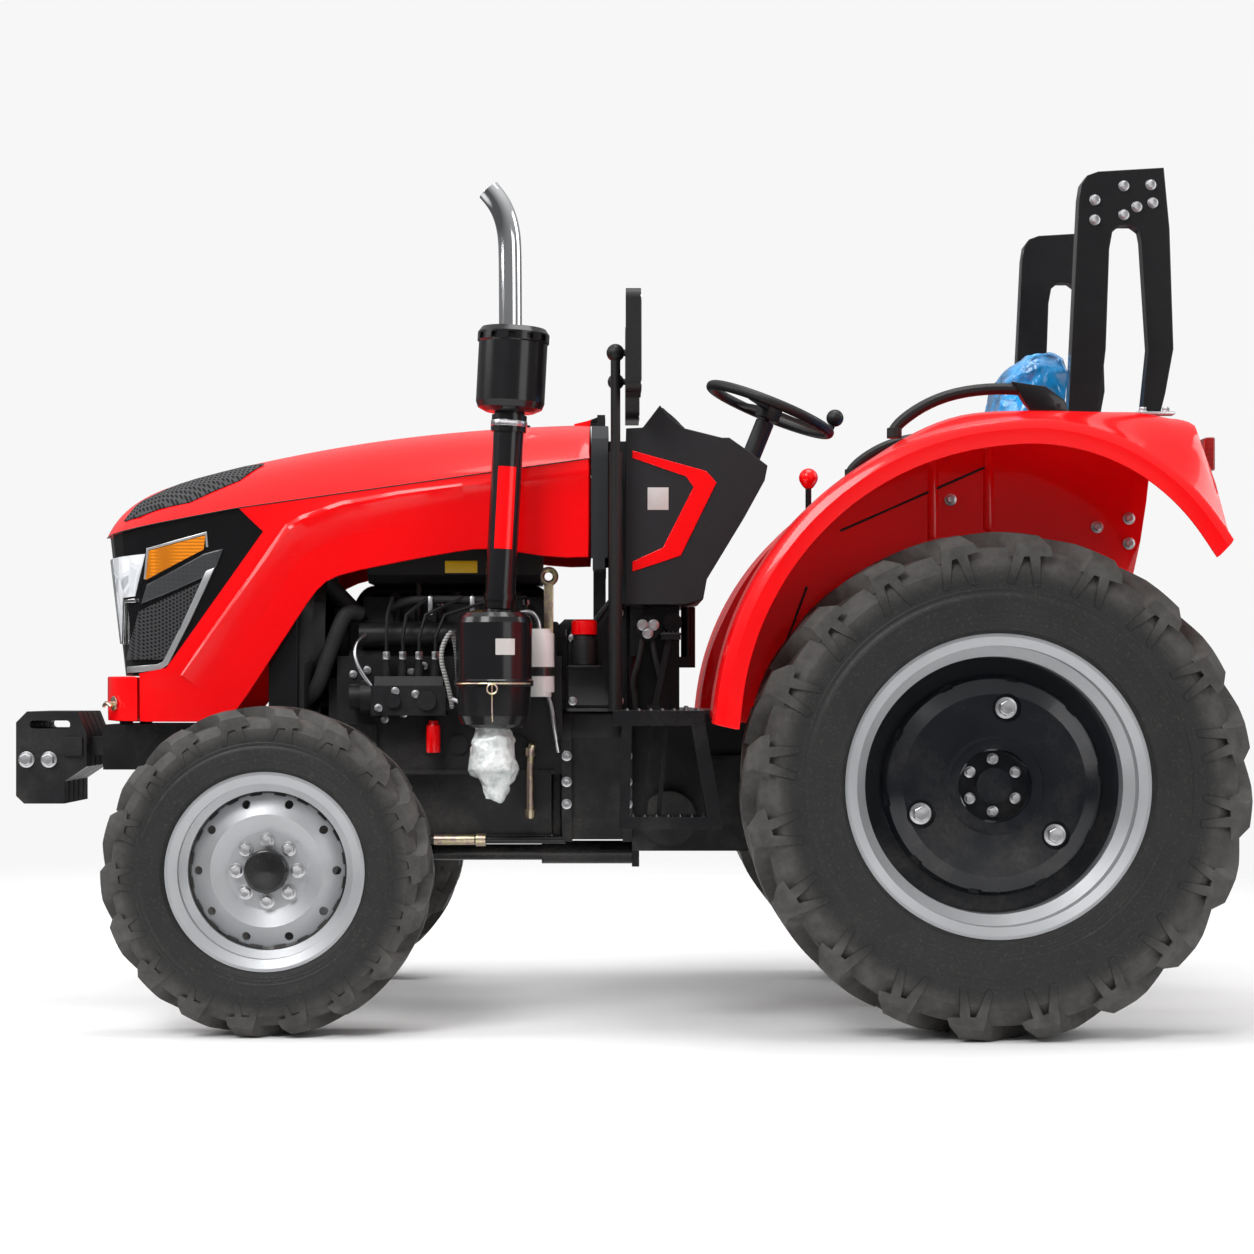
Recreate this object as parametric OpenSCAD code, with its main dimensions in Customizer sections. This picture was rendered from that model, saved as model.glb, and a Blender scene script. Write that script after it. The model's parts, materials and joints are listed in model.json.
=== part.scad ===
// Compact four-wheel-drive farm tractor with an open driver's station and two safety arches.
// Stations run forward from the rear axle, +Y is the driver's left and +Z is up from the ground.

/* [Wheels] */
// Distance between the axles
wheelbase = 1820; // [1800:5:1850]
// Rear tyre diameter over the lugs
rear_tyre_d = 1260; // [1230:5:1280]
// Rear tyre width
rear_tyre_w = 315; // [300:5:325]
// Rear rim diameter over its flanges
rear_rim_d = 756; // [740:2:780]
// Rear rim width over its flanges
rear_rim_w = 250; // [240:2:260]
// Distance between the middles of the rear tyres
rear_track = 1340; // [1330:2:1360]
// Front tyre diameter over the lugs
front_tyre_d = 828; // [810:2:840]
// Front tyre width
front_tyre_w = 210; // [195:1:215]
// Front rim diameter over its flanges
front_rim_d = 500; // [490:2:520]
// Front rim width over its flanges
front_rim_w = 165; // [155:1:170]
// Distance between the middles of the front tyres
front_track = 1270; // [1262:2:1300]
// Wall thickness of the rims
rim_wall = 8; // [6:0.5:9]

/* [Axles and steering] */
// Distance from the middle plane to each swivel pin
kingpin_y = 490; // [484:1:494]
// Length of the steering arms
steer_arm = 180; // [176:1:190]
// Radius of the front axle tube
axle_tube_r = 58; // [50:1:60]
// Radius of the rear axle tubes
trumpet_r = 85; // [75:1:95]
// Distance from the middle plane to the end of each rear axle tube
trumpet_end_y = 480; // [470:1:490]

/* [Engine and driveline] */
// Width of the engine block
engine_w = 344; // [330:2:350]
// Length of the engine block
engine_l = 610; // [590:5:620]
// Station of the engine's rear face
engine_rear_x = 1090; // [1085:1:1095]
// Height of the engine block's top face
block_top_z = 960; // [945:5:975]
// Height of the top of the front frame rails
frame_top_z = 775; // [770:1:778]
// Depth of the front frame rails
frame_depth = 122; // [115:1:125]
// Thickness of the front frame rails
rail_t = 22; // [16:1:26]

/* [Hood] */
// Length of the hood
hood_l = 1332; // [1320:1:1335]
// Half width of the hood at its rear
hood_half_w = 285; // [275:1:288]
// Height of the hood's top at its rear
hood_top_z = 1600; // [1596:1:1602]
// Height of the nose's bottom edge
nose_bottom_z = 783; // [781:1:790]
// Thickness of the hood panels
panel_t = 6; // [4:0.5:6]
// Radius of the hood's hinge pin
hinge_pin_r = 6; // [5:0.5:7]

/* [Driver's station] */
// Height of the floor's top
floor_z = 816; // [812:1:820]
// Distance from the middle plane to the outer edge of the steps
step_half_w = 620; // [600:1:640]
// Half width of the console
console_half_w = 250; // [240:1:260]
// Diameter of the steering wheel
steering_wheel_d = 380; // [360:2:400]
// Tilt of the steering wheel in degrees
steering_tilt = 22; // [20:1:24]
// Distance from the middle plane to the fenders' inner walls
fender_wall_y = 430; // [425:1:436]
// Distance from the middle plane to the fenders' outer lips
fender_lip_y = 842; // [836:1:855]
// Thickness of the fender sheet
fender_t = 7; // [5:0.5:8]
// Height of the flat deck on the fenders
deck_z = 1576; // [1570:1:1582]
// Height of the seat cushion's top
seat_z = 1400; // [1390:1:1410]

/* [Safety arches and mirrors] */
// Height of the safety arches
arch_z = 2220; // [2180:5:2250]
// Distance from the middle plane to the safety arches
arch_y = 462; // [458:1:470]
// Thickness of the safety arches across the tractor
arch_t = 48; // [40:1:50]
// Distance from the middle plane to the mirror posts
post_y = 315; // [312:1:320]
// Height of the mirrors
mirror_h = 273; // [240:1:290]

/* [Stacks] */
// Distance from the middle plane to the stacks
stack_y = 402; // [400:1:410]
// Radius of the air cleaner
cleaner_r = 100; // [90:1:102]
// Radius of the intake pipe
intake_r = 40; // [34:1:44]
// Radius of the chrome exhaust tip
exhaust_r = 34; // [28:1:38]

/* [Hitch] */
// Height of the lower links' front pins
link_pin_z = 420; // [414:1:426]
// Height of the lift shaft above the lower links' front pins
lift_rise = 530; // [524:1:536]
// Distance from the front pins to the lift rods' pins
lift_arm_l = 300; // [290:1:310]
// Distance from the front pins to the eyes of the lower links
lower_link_l = 620; // [600:1:630]
// Upward angle of the lower links in degrees
link_angle = 16; // [14:1:18]
// Radius of the pin holes in the lower links' eyes
link_eye_r = 11.2; // [11:0.1:14]
// Radius of the power take-off shaft
pto_r = 17.4; // [16:0.1:18]
// Radius of the drawbar's pin hole
drawbar_hole_r = 14; // [12:0.5:16]

/* [Hidden] */
$fn = 48;
// Radial play of a pin in its bore, and the gap left between curved faces
play = 0.05;
gap = 0.3;
// Room kept round a moving piece
room = 6;
rear_r = rear_tyre_d / 2;
front_r = front_tyre_d / 2;
rear_y = rear_track / 2;
front_y = front_track / 2;
rail_y = engine_w / 2;
head_half_w = engine_w / 2 - 57;
head_z = block_top_z + 95;
rail_bottom_z = frame_top_z - frame_depth;
engine_front_x = engine_rear_x + engine_l;
band_x0 = 965;
band_x1 = band_x0 + 45;
hood_rear_x = band_x1 + 5;
nose_x = hood_rear_x + hood_l;
// Height of the gearbox's bottom, above the front axle
belly_z = front_r + 16;
weight_rear_x = nose_x + 37;
weight_l = 192;
front_reach = weight_rear_x + weight_l;
lower_pin_x = -80;
link_eye_out_r = 24;
link_end_x = lower_pin_x - lower_link_l * cos(link_angle);
rear_reach = link_end_x - link_eye_out_r;
x_mid = (front_reach + rear_reach) / 2;
hinge_x = band_x0 + 20;
hinge_z = hood_top_z + 16;
nose_l = 387;
nose_root_x = nose_x - nose_l;
nose_half_w = 264;
mask_z0 = 907;
wheel_x = 516;
wheel_z = 1647;
column_r = 11;
lift_shaft_r = 28;
lift_pin_r = 9;
link_pin_r = 14;
hub_in = front_y - kingpin_y - 54 - 24;

module on_side(s) { if (s > 0) children(); else mirror([0, 1, 0]) children(); }
module both() { children(); mirror([0, 1, 0]) children(); }
module on_axle(x, y, z) { translate([x, y, z]) rotate([-90, 0, 0]) children(); }
module box(x0, x1, y0, y1, z0, z1) { translate([x0, y0, z0]) cube([x1 - x0, y1 - y0, z1 - z0]); }
module rod_y(x, z, y0, y1, r) { translate([x, y0, z]) rotate([-90, 0, 0]) cylinder(r = r, h = y1 - y0); }
module rod_x(y, z, x0, x1, r) { translate([x0, y, z]) rotate([0, 90, 0]) cylinder(r = r, h = x1 - x0); }
module rod_z(x, y, z0, z1, r) { translate([x, y, z0]) cylinder(r = r, h = z1 - z0); }
// A side view outline pulled across the tractor, from y0 to y1
module plate_y(y0, y1) { translate([0, y1, 0]) rotate([90, 0, 0]) linear_extrude(y1 - y0) children(); }
// A front view outline pulled along the tractor, from x0 to x1
module plate_x(x0, x1) { translate([x0, 0, 0]) rotate([90, 0, 90]) linear_extrude(x1 - x0) children(); }
module plate_z(z0, z1) { translate([0, 0, z0]) linear_extrude(z1 - z0) children(); }
// A straight bar between two points of the side view
module strap(a, b, w) {
  d = b - a;
  translate(a) rotate(atan2(d[1], d[0])) translate([0, -w / 2]) square([norm(d), w]);
}
module round_rect(w, h, r) {
  square([w - 2 * r, h], center = true);
  square([w, h - 2 * r], center = true);
  for (i = [-1, 1], j = [-1, 1]) translate([i * (w / 2 - r), j * (h / 2 - r)]) circle(r);
}
function bezier(p, t) = pow(1 - t, 3) * p[0] + 3 * pow(1 - t, 2) * t * p[1]
  + 3 * (1 - t) * t * t * p[2] + pow(t, 3) * p[3];
function mix(a, b, t) = a + (b - a) * t;

// A closed sheet between two grids of points that have the same rows and columns
module sheet(outer, inner, side = 1) {
  n = len(outer);
  m = len(outer[0]);
  function at(i, j) = i * m + j;
  points = concat([for (row = outer) for (p = row) p], [for (row = inner) for (p = row) p]);
  k = n * m;
  face_out = [for (i = [0:n - 2]) for (j = [0:m - 2])
    for (f = [[at(i, j), at(i, j + 1), at(i + 1, j + 1)], [at(i, j), at(i + 1, j + 1), at(i + 1, j)]]) f];
  face_in = [for (f = face_out) [f[2] + k, f[1] + k, f[0] + k]];
  rim = concat([for (j = [0:m - 1]) at(0, j)], [for (i = [1:n - 1]) at(i, m - 1)],
    [for (j = [m - 2:-1:0]) at(n - 1, j)], [for (i = [n - 2:-1:1]) at(i, 0)]);
  edge = [for (q = [0:len(rim) - 1])
    let(a = rim[q], b = rim[(q + 1) % len(rim)])
    for (f = [[b, a, a + k], [b, a + k, b + k]]) f];
  faces = concat(face_out, face_in, edge);
  polyhedron(points, side > 0 ? faces : [for (f = faces) [f[2], f[1], f[0]]], convexity = 6);
}

// A round tube through the points of a path
module tube(path, r, sides = 10, ref = [0, 1, 0]) {
  n = len(path);
  function way(i) = let(d = path[min(i + 1, n - 1)] - path[max(i - 1, 0)]) d / norm(d);
  function across(i) = let(c = cross(way(i), ref)) c / norm(c);
  points = [for (i = [0:n - 1]) let(a = across(i), b = cross(way(i), a))
    for (q = [0:sides - 1]) path[i] + r * (cos(q * 360 / sides) * a + sin(q * 360 / sides) * b)];
  skin = [for (i = [0:n - 2]) for (q = [0:sides - 1])
    let(a = i * sides + q, b = i * sides + (q + 1) % sides)
    for (f = [[b, a, a + sides], [b, a + sides, b + sides]]) f];
  ends = [[for (q = [0:sides - 1]) q], [for (q = [sides - 1:-1:0]) (n - 1) * sides + q]];
  polyhedron(points, concat(skin, ends), convexity = 4);
}

// Wheels, drawn with the axle along Z and the outer face up

// A tyre with n lugs a side, each a slanted bar that ends in a forked buttress on the shoulder
module tyre_body(r, w, lug, flange_r, rim_w, n, lug_w) {
  bead_r = flange_r - 22;
  h = rim_w / 2;
  wall = [[bead_r + gap, h - 16], [flange_r + 1, h - 9], [flange_r + 2, h + 2], [flange_r + 10, w * 0.45],
    [mix(flange_r, r, 0.35), w / 2]];
  base = concat(wall, [[mix(flange_r, r, 0.4), w * 0.485], [mix(flange_r, r, 0.66), w * 0.465],
    [r - lug - 6, w * 0.39],
    [r - lug, w * 0.2]]);
  tip = [[mix(flange_r, r, 0.46), w * 0.485], [r - lug * 0.9, w * 0.48], [r - 5, w * 0.42], [r, w * 0.3]];
  k = len(base);
  m = len(tip);
  foot_r = mix(flange_r, r, 0.48);
  rotate_extrude($fn = 96) polygon(concat(base, [for (i = [k - 1:-1:0]) [base[i][0], -base[i][1]]]));
  intersection() {
    rotate_extrude($fn = 96) polygon(concat([[flange_r, w * 0.48]], tip,
      [for (i = [m - 1:-1:0]) [tip[i][0], -tip[i][1]]], [[flange_r, -w * 0.48]]));
    for (s = [-1, 1], i = [0:n - 1]) mirror([0, 0, s > 0 ? 0 : 1]) rotate(90 + (i + (s > 0 ? 0 : 0.5)) * 360 / n) {
      translate([r - lug - 30, w * 0.24, -10]) rotate([45, 0, 0]) linear_extrude(w)
        polygon([[0, -lug_w * 0.62], [lug + 50, -lug_w * 0.36], [lug + 50, lug_w * 0.36], [0, lug_w * 0.62]]);
      rotate(-asin((w * 0.2 + 10) / r)) translate([0, 0, w * 0.36]) linear_extrude(w * 0.2)
        polygon([[r + 5, -lug_w * 0.5], [foot_r, -lug_w * 0.82], [foot_r, -lug_w * 0.5], [r - lug * 1.2, -2],
          [r - lug * 1.2, 2], [foot_r, lug_w * 0.5], [foot_r, lug_w * 0.82], [r + 5, lug_w * 0.5]]);
    }
  }
}
module rim_body(flange_r, w, drop) {
  seat = flange_r - 22;
  well = flange_r - drop;
  h = w / 2;
  t = rim_wall;
  rotate_extrude($fn = 96) polygon([
    [flange_r, h], [flange_r, h - 7], [seat, h - 14], [seat, h * 0.55], [well, h * 0.36], [well, -h * 0.36],
    [seat, -h * 0.55], [seat, -h + 14], [flange_r, -h + 7], [flange_r, -h], [flange_r - t, -h],
    [seat - t, -h + 10], [seat - t, -h * 0.55 - 2], [well - t, -h * 0.36 - 4], [well - t, h * 0.36 + 4],
    [seat - t, h * 0.55 + 2], [seat - t, h - 10], [flange_r - t, h]
  ]);
}
rear_drop = 48;
front_drop = 42;
rear_lug = 34;
front_lug = 25;
rear_lug_w = 50;
front_lug_w = 38;
spindle_r = 30;
weight_bolt_r = 196;
shaft_r = 42;

module rear_tyre(s) color([0.06, 0.06, 0.06]) on_side(s) on_axle(0, rear_y, rear_r)
  tyre_body(rear_r, rear_tyre_w, rear_lug, rear_rim_d / 2, rear_rim_w, 20, rear_lug_w);
module rear_rim(s) color([0.75, 0.76, 0.78]) on_side(s) on_axle(0, rear_y, rear_r)
  rim_body(rear_rim_d / 2, rear_rim_w, rear_drop);
module rear_weight(s) color([0.08, 0.08, 0.08]) on_side(s) on_axle(0, rear_y, rear_r) {
  well = rear_rim_d / 2 - rear_drop - rim_wall;
  difference() {
    rotate_extrude($fn = 96) polygon([
      [0, -30], [105, -30], [105, -18], [well - gap, -18], [well - gap, -6], [275, -6], [278, 14], [266, 44],
      [228, 58], [124, 62], [117, 70], [92, 70], [88, 60], [88, 20], [44, 20], [44, 52], [0, 52]
    ]);
    for (i = [0:2]) rotate(i * 120 - 99) translate([weight_bolt_r, 0, 42]) cylinder(r = 36, h = 40);
    for (i = [0:9]) rotate(i * 36 + 8) translate([262, -15, 22]) cube([40, 30, 60]);
  }
  translate([0, 0, -(rear_y - trumpet_end_y) - 60]) cylinder(r = shaft_r, h = rear_y - trumpet_end_y + 40);
}
module front_tyre(s) color([0.06, 0.06, 0.06]) on_side(s) on_axle(wheelbase, front_y, front_r)
  tyre_body(front_r, front_tyre_w, front_lug, front_rim_d / 2, front_rim_w, 18, front_lug_w);
module front_rim(s) color([0.75, 0.76, 0.78]) on_side(s) on_axle(wheelbase, front_y, front_r) {
  well = front_rim_d / 2 - front_drop - rim_wall;
  rim_body(front_rim_d / 2, front_rim_w, front_drop);
  difference() {
    rotate_extrude($fn = 96) polygon([
      [0, 8], [100, 8], [100, 18], [140, 34], [187, 8], [well + 2, 0], [well + 2, 10], [188, 18], [142, 44],
      [100, 28], [53, 28], [53, 56], [46, 60], [0, 60]
    ]);
    for (i = [0:9]) rotate(i * 36) translate([174, 0, -5]) cylinder(r = 11, h = 60);
  }
  difference() {
    translate([0, 0, -hub_in]) cylinder(r = 62, h = hub_in + 10);
    translate([0, 0, -hub_in - 1]) cylinder(r = spindle_r + play, h = hub_in);
  }
}

// Front axle and steering

module front_axle() color([0.09, 0.09, 0.09]) {
  difference() {
    union() {
      rod_y(wheelbase, front_r, -kingpin_y, kingpin_y, axle_tube_r);
      translate([wheelbase, 0, front_r]) sphere(r = 112);
      for (s = [-1, 1]) rod_z(wheelbase, s * kingpin_y, front_r - 75, front_r + 75, 48);
      box(wheelbase - 85, wheelbase + 85, -70, 70, front_r, rail_bottom_z - 30);
      rod_x(0, front_r + 4, wheelbase - 190, wheelbase, 46);
    }
    for (s = [-1, 1]) rod_z(wheelbase, s * kingpin_y, front_r - 80, front_r + 80, 20 + play);
  }
}
module knuckle(s) color([0.09, 0.09, 0.09]) on_side(s) {
  wall = kingpin_y + 48 + room;
  z0 = front_r - 105;
  difference() {
    union() {
      for (z = [z0, front_r + 80]) {
        rod_z(wheelbase, kingpin_y, z, z + 25, 46);
        box(wheelbase - 46, wheelbase + 46, kingpin_y, wall + 18, z, z + 25);
      }
      box(wheelbase - 60, wheelbase + 60, wall, wall + 18, z0, front_r + 105);
      box(wheelbase - steer_arm, wheelbase - 20, kingpin_y - 22, kingpin_y + 22, z0, z0 + 25);
      rod_z(wheelbase - steer_arm, kingpin_y, z0, z0 + 25, 22);
      rod_z(wheelbase - steer_arm, kingpin_y, z0, z0 + 54, 10);
      rod_z(wheelbase, kingpin_y, z0, front_r + 105, 20);
      rod_y(wheelbase, front_r, wall, wall + 18 + hub_in, spindle_r);
    }
  }
}
module tie_rod() color([0.62, 0.55, 0.35]) {
  z = front_r - 105 + 25 + room;
  difference() {
    union() {
      rod_y(wheelbase - steer_arm, z + 12, -kingpin_y, kingpin_y, 12);
      for (s = [-1, 1]) rod_z(wheelbase - steer_arm, s * kingpin_y, z, z + 24, 22);
    }
    for (s = [-1, 1]) rod_z(wheelbase - steer_arm, s * kingpin_y, z - 1, z + 25, 10 + play);
  }
}

// Chassis

module front_frame() color([0.09, 0.09, 0.09]) {
  both() box(engine_front_x - 110, weight_rear_x - 54, rail_y, rail_y + rail_t, rail_bottom_z, frame_top_z);
  box(weight_rear_x - 76, weight_rear_x - 54, -rail_y, rail_y, rail_bottom_z, frame_top_z);
  for (x = [wheelbase - 85, wheelbase + 55])
    box(x, x + 30, -rail_y, rail_y, rail_bottom_z - 30, rail_bottom_z + 40);
  box(engine_front_x + 100, engine_front_x + 210, -rail_y, rail_y, frame_top_z - 12, frame_top_z);
  both() rod_z(nose_x - 70, rail_y - 30, frame_top_z - 40, nose_bottom_z - gap, 18);
  both() box(nose_x - 90, nose_x - 50, rail_y - 50, rail_y, frame_top_z - 40, frame_top_z);
}
module front_weights() color([0.09, 0.09, 0.09]) {
  z1 = 810;
  both() box(weight_rear_x - 54, weight_rear_x + 20, 60, 90, 690, 740);
  plate_y(-160, 160) polygon([[weight_rear_x + 10, 690], [weight_rear_x + 60, 690],
    [weight_rear_x + 60, 740], [weight_rear_x + 10, 740]]);
  for (i = [-2:2]) plate_y(i * 62 - 26, i * 62 + 26) difference() {
    polygon([[weight_rear_x, z1 - 60], [weight_rear_x + 24, z1], [front_reach - 30, z1],
      [front_reach, z1 - 30], [front_reach, z1 - 230], [front_reach - 22, z1 - 251],
      [weight_rear_x + 60, z1 - 251], [weight_rear_x + 60, z1 - 190], [weight_rear_x, z1 - 150]]);
    translate([weight_rear_x + 100, z1 - 36]) round_rect(110, 22, 10);
  }
}
module engine() color([0.1, 0.1, 0.11]) {
  x0 = engine_rear_x;
  x1 = engine_front_x;
  h = engine_w / 2;
  box(x0, x1, -h, h, 640, block_top_z);
  plate_x(x0 + 30, x1 - 20) polygon([[-130, 640], [-110, belly_z + 40], [110, belly_z + 40], [130, 640]]);
  box(x0 + 15, x1 - 30, -head_half_w, head_half_w, block_top_z, head_z);
  plate_x(x0 + 40, x1 - 60) polygon([[-head_half_w + 40, head_z],
    [-head_half_w + 55, head_z + 70], [head_half_w - 55, head_z + 70], [head_half_w - 40, head_z]]);
  for (i = [0:2]) rod_z(x0 + 130 + i * 170, 0, head_z + 60, head_z + 84, 22);
  rod_x(h - 22, block_top_z + 58, x0 + 70, x1 - 60, 32);
  for (i = [0:3]) rod_y(x0 + 110 + i * 118, block_top_z + 58, head_half_w - 15, h - 22, 22);
  for (i = [0:3]) rod_y(x0 + 120 + i * 80, 720, h, h + 7, 26);
  box(x0 + 20, x1 - 10, -h - 8, h + 8, 640, 652);
  plate_x(x1, x1 + 26) polygon([[-150, 560], [150, 560], [140, 900], [70, block_top_z],
    [-70, block_top_z], [-140, 900]]);
  rod_x(0, 760, x1 + 26, x1 + 62, 60);
  rod_x(0, 860, x1 + 26, x1 + 62, 56);
  rod_x(120, 930, x1 - 130, x1 - 30, 52);
}
module injection_pump() color([0.16, 0.16, 0.17]) {
  y = engine_w / 2;
  nozzle_y = head_half_w - 23;
  box(1400, 1600, y, y + 85, 800, 880);
  plate_x(1408, 1592) polygon([[y, 880], [y + 80, 880], [y + 66, 905], [y, 905]]);
  for (i = [0:3]) {
    x = 1430 + i * 44;
    into = 1190 + i * 118;
    rod_z(x, y + 45, 905, 936, 13);
    rod_z(x, y + 45, 936, 952, 9);
    rod_z(into, nozzle_y, head_z, head_z + 46, 11);
    tube([[x, y + 45, 946], [x, y + 47, 1010], [mix(x, into, 0.1), y + 42, 1070], [mix(x, into, 0.7), y + 10, 1118],
      [into, nozzle_y + 38, 1122], [into, nozzle_y + 8, 1106], [into, nozzle_y, 1092]], 5, 6, [0.94, 0.34, 0]);
  }
  rod_x(y + 45, 850, 1600, 1630, 44);
  rod_x(y + 45, 850, 1630, 1660, 34);
  rod_y(1450, 840, y + 85, y + 97, 26);
  rod_y(1540, 840, y + 85, y + 97, 20);
  box(1330, 1400, y, y + 62, 812, 868);
  rod_x(y + 32, 842, 1318, 1330, 16);
}
module oil_filter() color([0.85, 0.85, 0.83]) {
  y = engine_w / 2;
  box(1112, 1182, y, y + 70, 900, 940);
  rod_z(1147, y + 75, 862, 1020, 38);
  rod_z(1147, y + 75, 850, 862, 30);
  rod_z(1147, y + 75, 1020, 1032, 30);
}
module tank_outline(w, a, b) polygon([[-w + 30, a], [w - 30, a], [w, a + 22], [w, b - 40], [w - 40, b], [40 - w, b],
  [-w, b - 40], [-w, a + 22]]);
module fuel_tank() color([0.07, 0.07, 0.07]) {
  x0 = engine_rear_x + 60;
  x1 = engine_front_x - 80;
  z0 = head_z + 105;
  z1 = z0 + 150;
  wall = 5;
  difference() {
    union() {
      plate_x(x0, x1) tank_outline(150, z0, z1);
      rod_z(x0 + 120, 0, z1 - 2, z1 + 24, 38);
    }
    plate_x(x0 + wall, x1 - wall) tank_outline(150 - wall, z0 + wall, z1 - wall);
    rod_z(x0 + 120, 0, z1 - 20, z1 + 30, 32);
  }
  for (x = [x0 + 99, x0 + 335], y = [17 - head_half_w, head_half_w - 17]) rod_z(x, y, head_z + gap, z0 + 2, 9);
}
module radiator() color([0.08, 0.09, 0.08]) {
  box(engine_front_x + 102, engine_front_x + 180, -215, 215, frame_top_z, 1290);
}
module gearbox() color([0.1, 0.1, 0.1]) {
  top = floor_z - 8;
  plate_x(900, engine_rear_x) polygon([[-172, belly_z + 90], [-120, belly_z + 30], [120, belly_z + 30],
    [172, belly_z + 90], [172, 740],
    [110, top], [-110, top], [-172, 740]]);
  for (x = [engine_rear_x - 26, 900]) plate_x(x, x + 26) polygon([[-192, belly_z + 100], [-130, belly_z + 24],
    [130, belly_z + 24], [192, belly_z + 100], [192, 735], [120, top - 2], [-120, top - 2], [-192, 735]]);
  box(240, 900, -140, 140, belly_z, top);
  both() rod_y(800, belly_z + 90, 140, 186, 74);
  both() box(420, 690, 140, 160, 500, 690);
  both() for (x = [440, 670], z = [520, 670]) rod_y(x, z, 160, 168, 12);
}
module rear_axle() color([0.1, 0.1, 0.1]) difference() {
  union() {
    box(-210, 240, -165, 165, 420, 850);
    both() rod_y(0, rear_r, 165, trumpet_end_y, trumpet_r);
    both() rod_y(0, rear_r, 165, 262, 122);
    both() box(-60, 60, 380, 462, rear_r, rear_r + 115);
    box(-210, 10, -140, 140, 850, 1010);
    both() box(lower_pin_x - 30, lower_pin_x + 30, 185, 205, link_pin_z - 30, rear_r - 60);
    both() box(lower_pin_x - 30, lower_pin_x + 30, 165, 205, rear_r - 120, rear_r - 60);
    both() rod_y(lower_pin_x, link_pin_z, 205, 250, link_pin_r);
    rod_x(0, 560, -300, -210, pto_r);
    both() box(-270, -210, 22, 36, 760, 850);
  }
  both() rod_y(0, rear_r, 300, trumpet_end_y + 1, shaft_r + play);
  rod_y(-245, 805, -40, 40, 10.2);
  rod_y(lower_pin_x, link_pin_z + lift_rise, -150, 150, lift_shaft_r + play);
}
module drawbar() color([0.09, 0.09, 0.09]) difference() {
  union() {
    box(-420, 200, -35, 35, 380, 410);
    box(40, 200, -60, 60, 410, 420);
  }
  rod_z(-380, 0, 379, 411, drawbar_hole_r);
}
module drive_shaft() color([0.1, 0.1, 0.1]) {
  rod_x(0, front_r + 4, 1150, wheelbase - 190, 22);
  rod_x(0, front_r + 4, 900, 1150, 32);
  box(880, 900, -40, 40, belly_z - 50, belly_z);
}

// Hitch

module lift_arms() color([0.1, 0.1, 0.1]) {
  z = link_pin_z + lift_rise;
  end = [lower_pin_x - lift_arm_l * cos(link_angle), z + lift_arm_l * sin(link_angle)];
  rod_y(lower_pin_x, z, -218, 218, lift_shaft_r);
  both() {
    plate_y(180, 206) {
      translate([lower_pin_x, z]) circle(44);
      strap([lower_pin_x, z], end, 44);
      translate(end) circle(26);
    }
    rod_y(end[0], end[1], 190, 274, lift_pin_r);
    rod_y(end[0], end[1], 206, 244, lift_pin_r + 5);
  }
}
module lift_rods() color([0.1, 0.1, 0.1]) {
  x = lower_pin_x - lift_arm_l * cos(link_angle);
  z0 = link_pin_z + lift_arm_l * sin(link_angle);
  z1 = z0 + lift_rise;
  both() difference() {
    union() {
      for (z = [z0, z1]) rod_y(x, z, 246, 270, 24);
      rod_z(x, 258, z0 + 5, z1 - 5, 10);
      rod_z(x, 258, z0 + 90, z1 - 160, 18);
    }
    for (z = [z0, z1]) rod_y(x, z, 240, 280, lift_pin_r + play);
  }
}
module lower_links() color([0.1, 0.1, 0.1]) {
  a = [lower_pin_x, link_pin_z];
  way = [-cos(link_angle), sin(link_angle)];
  end = a + lower_link_l * way;
  pin = a + lift_arm_l * way;
  both() difference() {
    union() {
      plate_y(212, 238) {
        translate(a) circle(30);
        strap(a, end, 46);
        translate(end) circle(link_eye_out_r);
      }
      rod_y(pin[0], pin[1], 225, 274, lift_pin_r);
    }
    rod_y(a[0], a[1], 200, 250, link_pin_r + play);
    rod_y(end[0], end[1], 200, 250, link_eye_r);
  }
}

// Hood

// A station back from the nose's root, in shares of the part of the hood behind it
function back(d) = d < 0 ? nose_root_x - d : mix(nose_root_x, hood_rear_x, d / 945);
function run(x) = (x - hood_rear_x) / (nose_x - hood_rear_x);
function top_z(x) = hood_top_z - 218 * pow(run(x), 2) - 90 * pow(run(x), 24);
function edge_z(x) = x < nose_root_x
  ? mix(hood_top_z - 114, hood_top_z - 245, (x - hood_rear_x) / (nose_root_x - hood_rear_x))
  : mix(hood_top_z - 245, hood_top_z - 318, (x - nose_root_x) / nose_l);
function plan_y(x, d = 0) = x < nose_root_x
  ? mix(hood_half_w, nose_half_w, (x - hood_rear_x) / (nose_root_x - hood_rear_x)) - d
  : (nose_half_w - d) * pow(max(0, 1 - pow((x - nose_root_x) / (nose_l - d), 5)), 0.45);
function low_z(x) = lookup(x, [[back(945), 1221], [back(827), 1221], [back(681), 1253], [back(494), 1222],
  [back(260), 1175], [back(217), 1144], [back(60), 901], [back(0), 808], [back(-35), nose_bottom_z],
  [back(-340), nose_bottom_z]]);
hood_x = [for (d = [945, 827, 681, 494, 360, 260, 160, 60, 0, -60, -130, -210, -270, -320, -355, 10 - nose_l])
  back(d)];

spread = [for (q = [0:14]) sin(mix(-90, 90, q / 14))];
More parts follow.
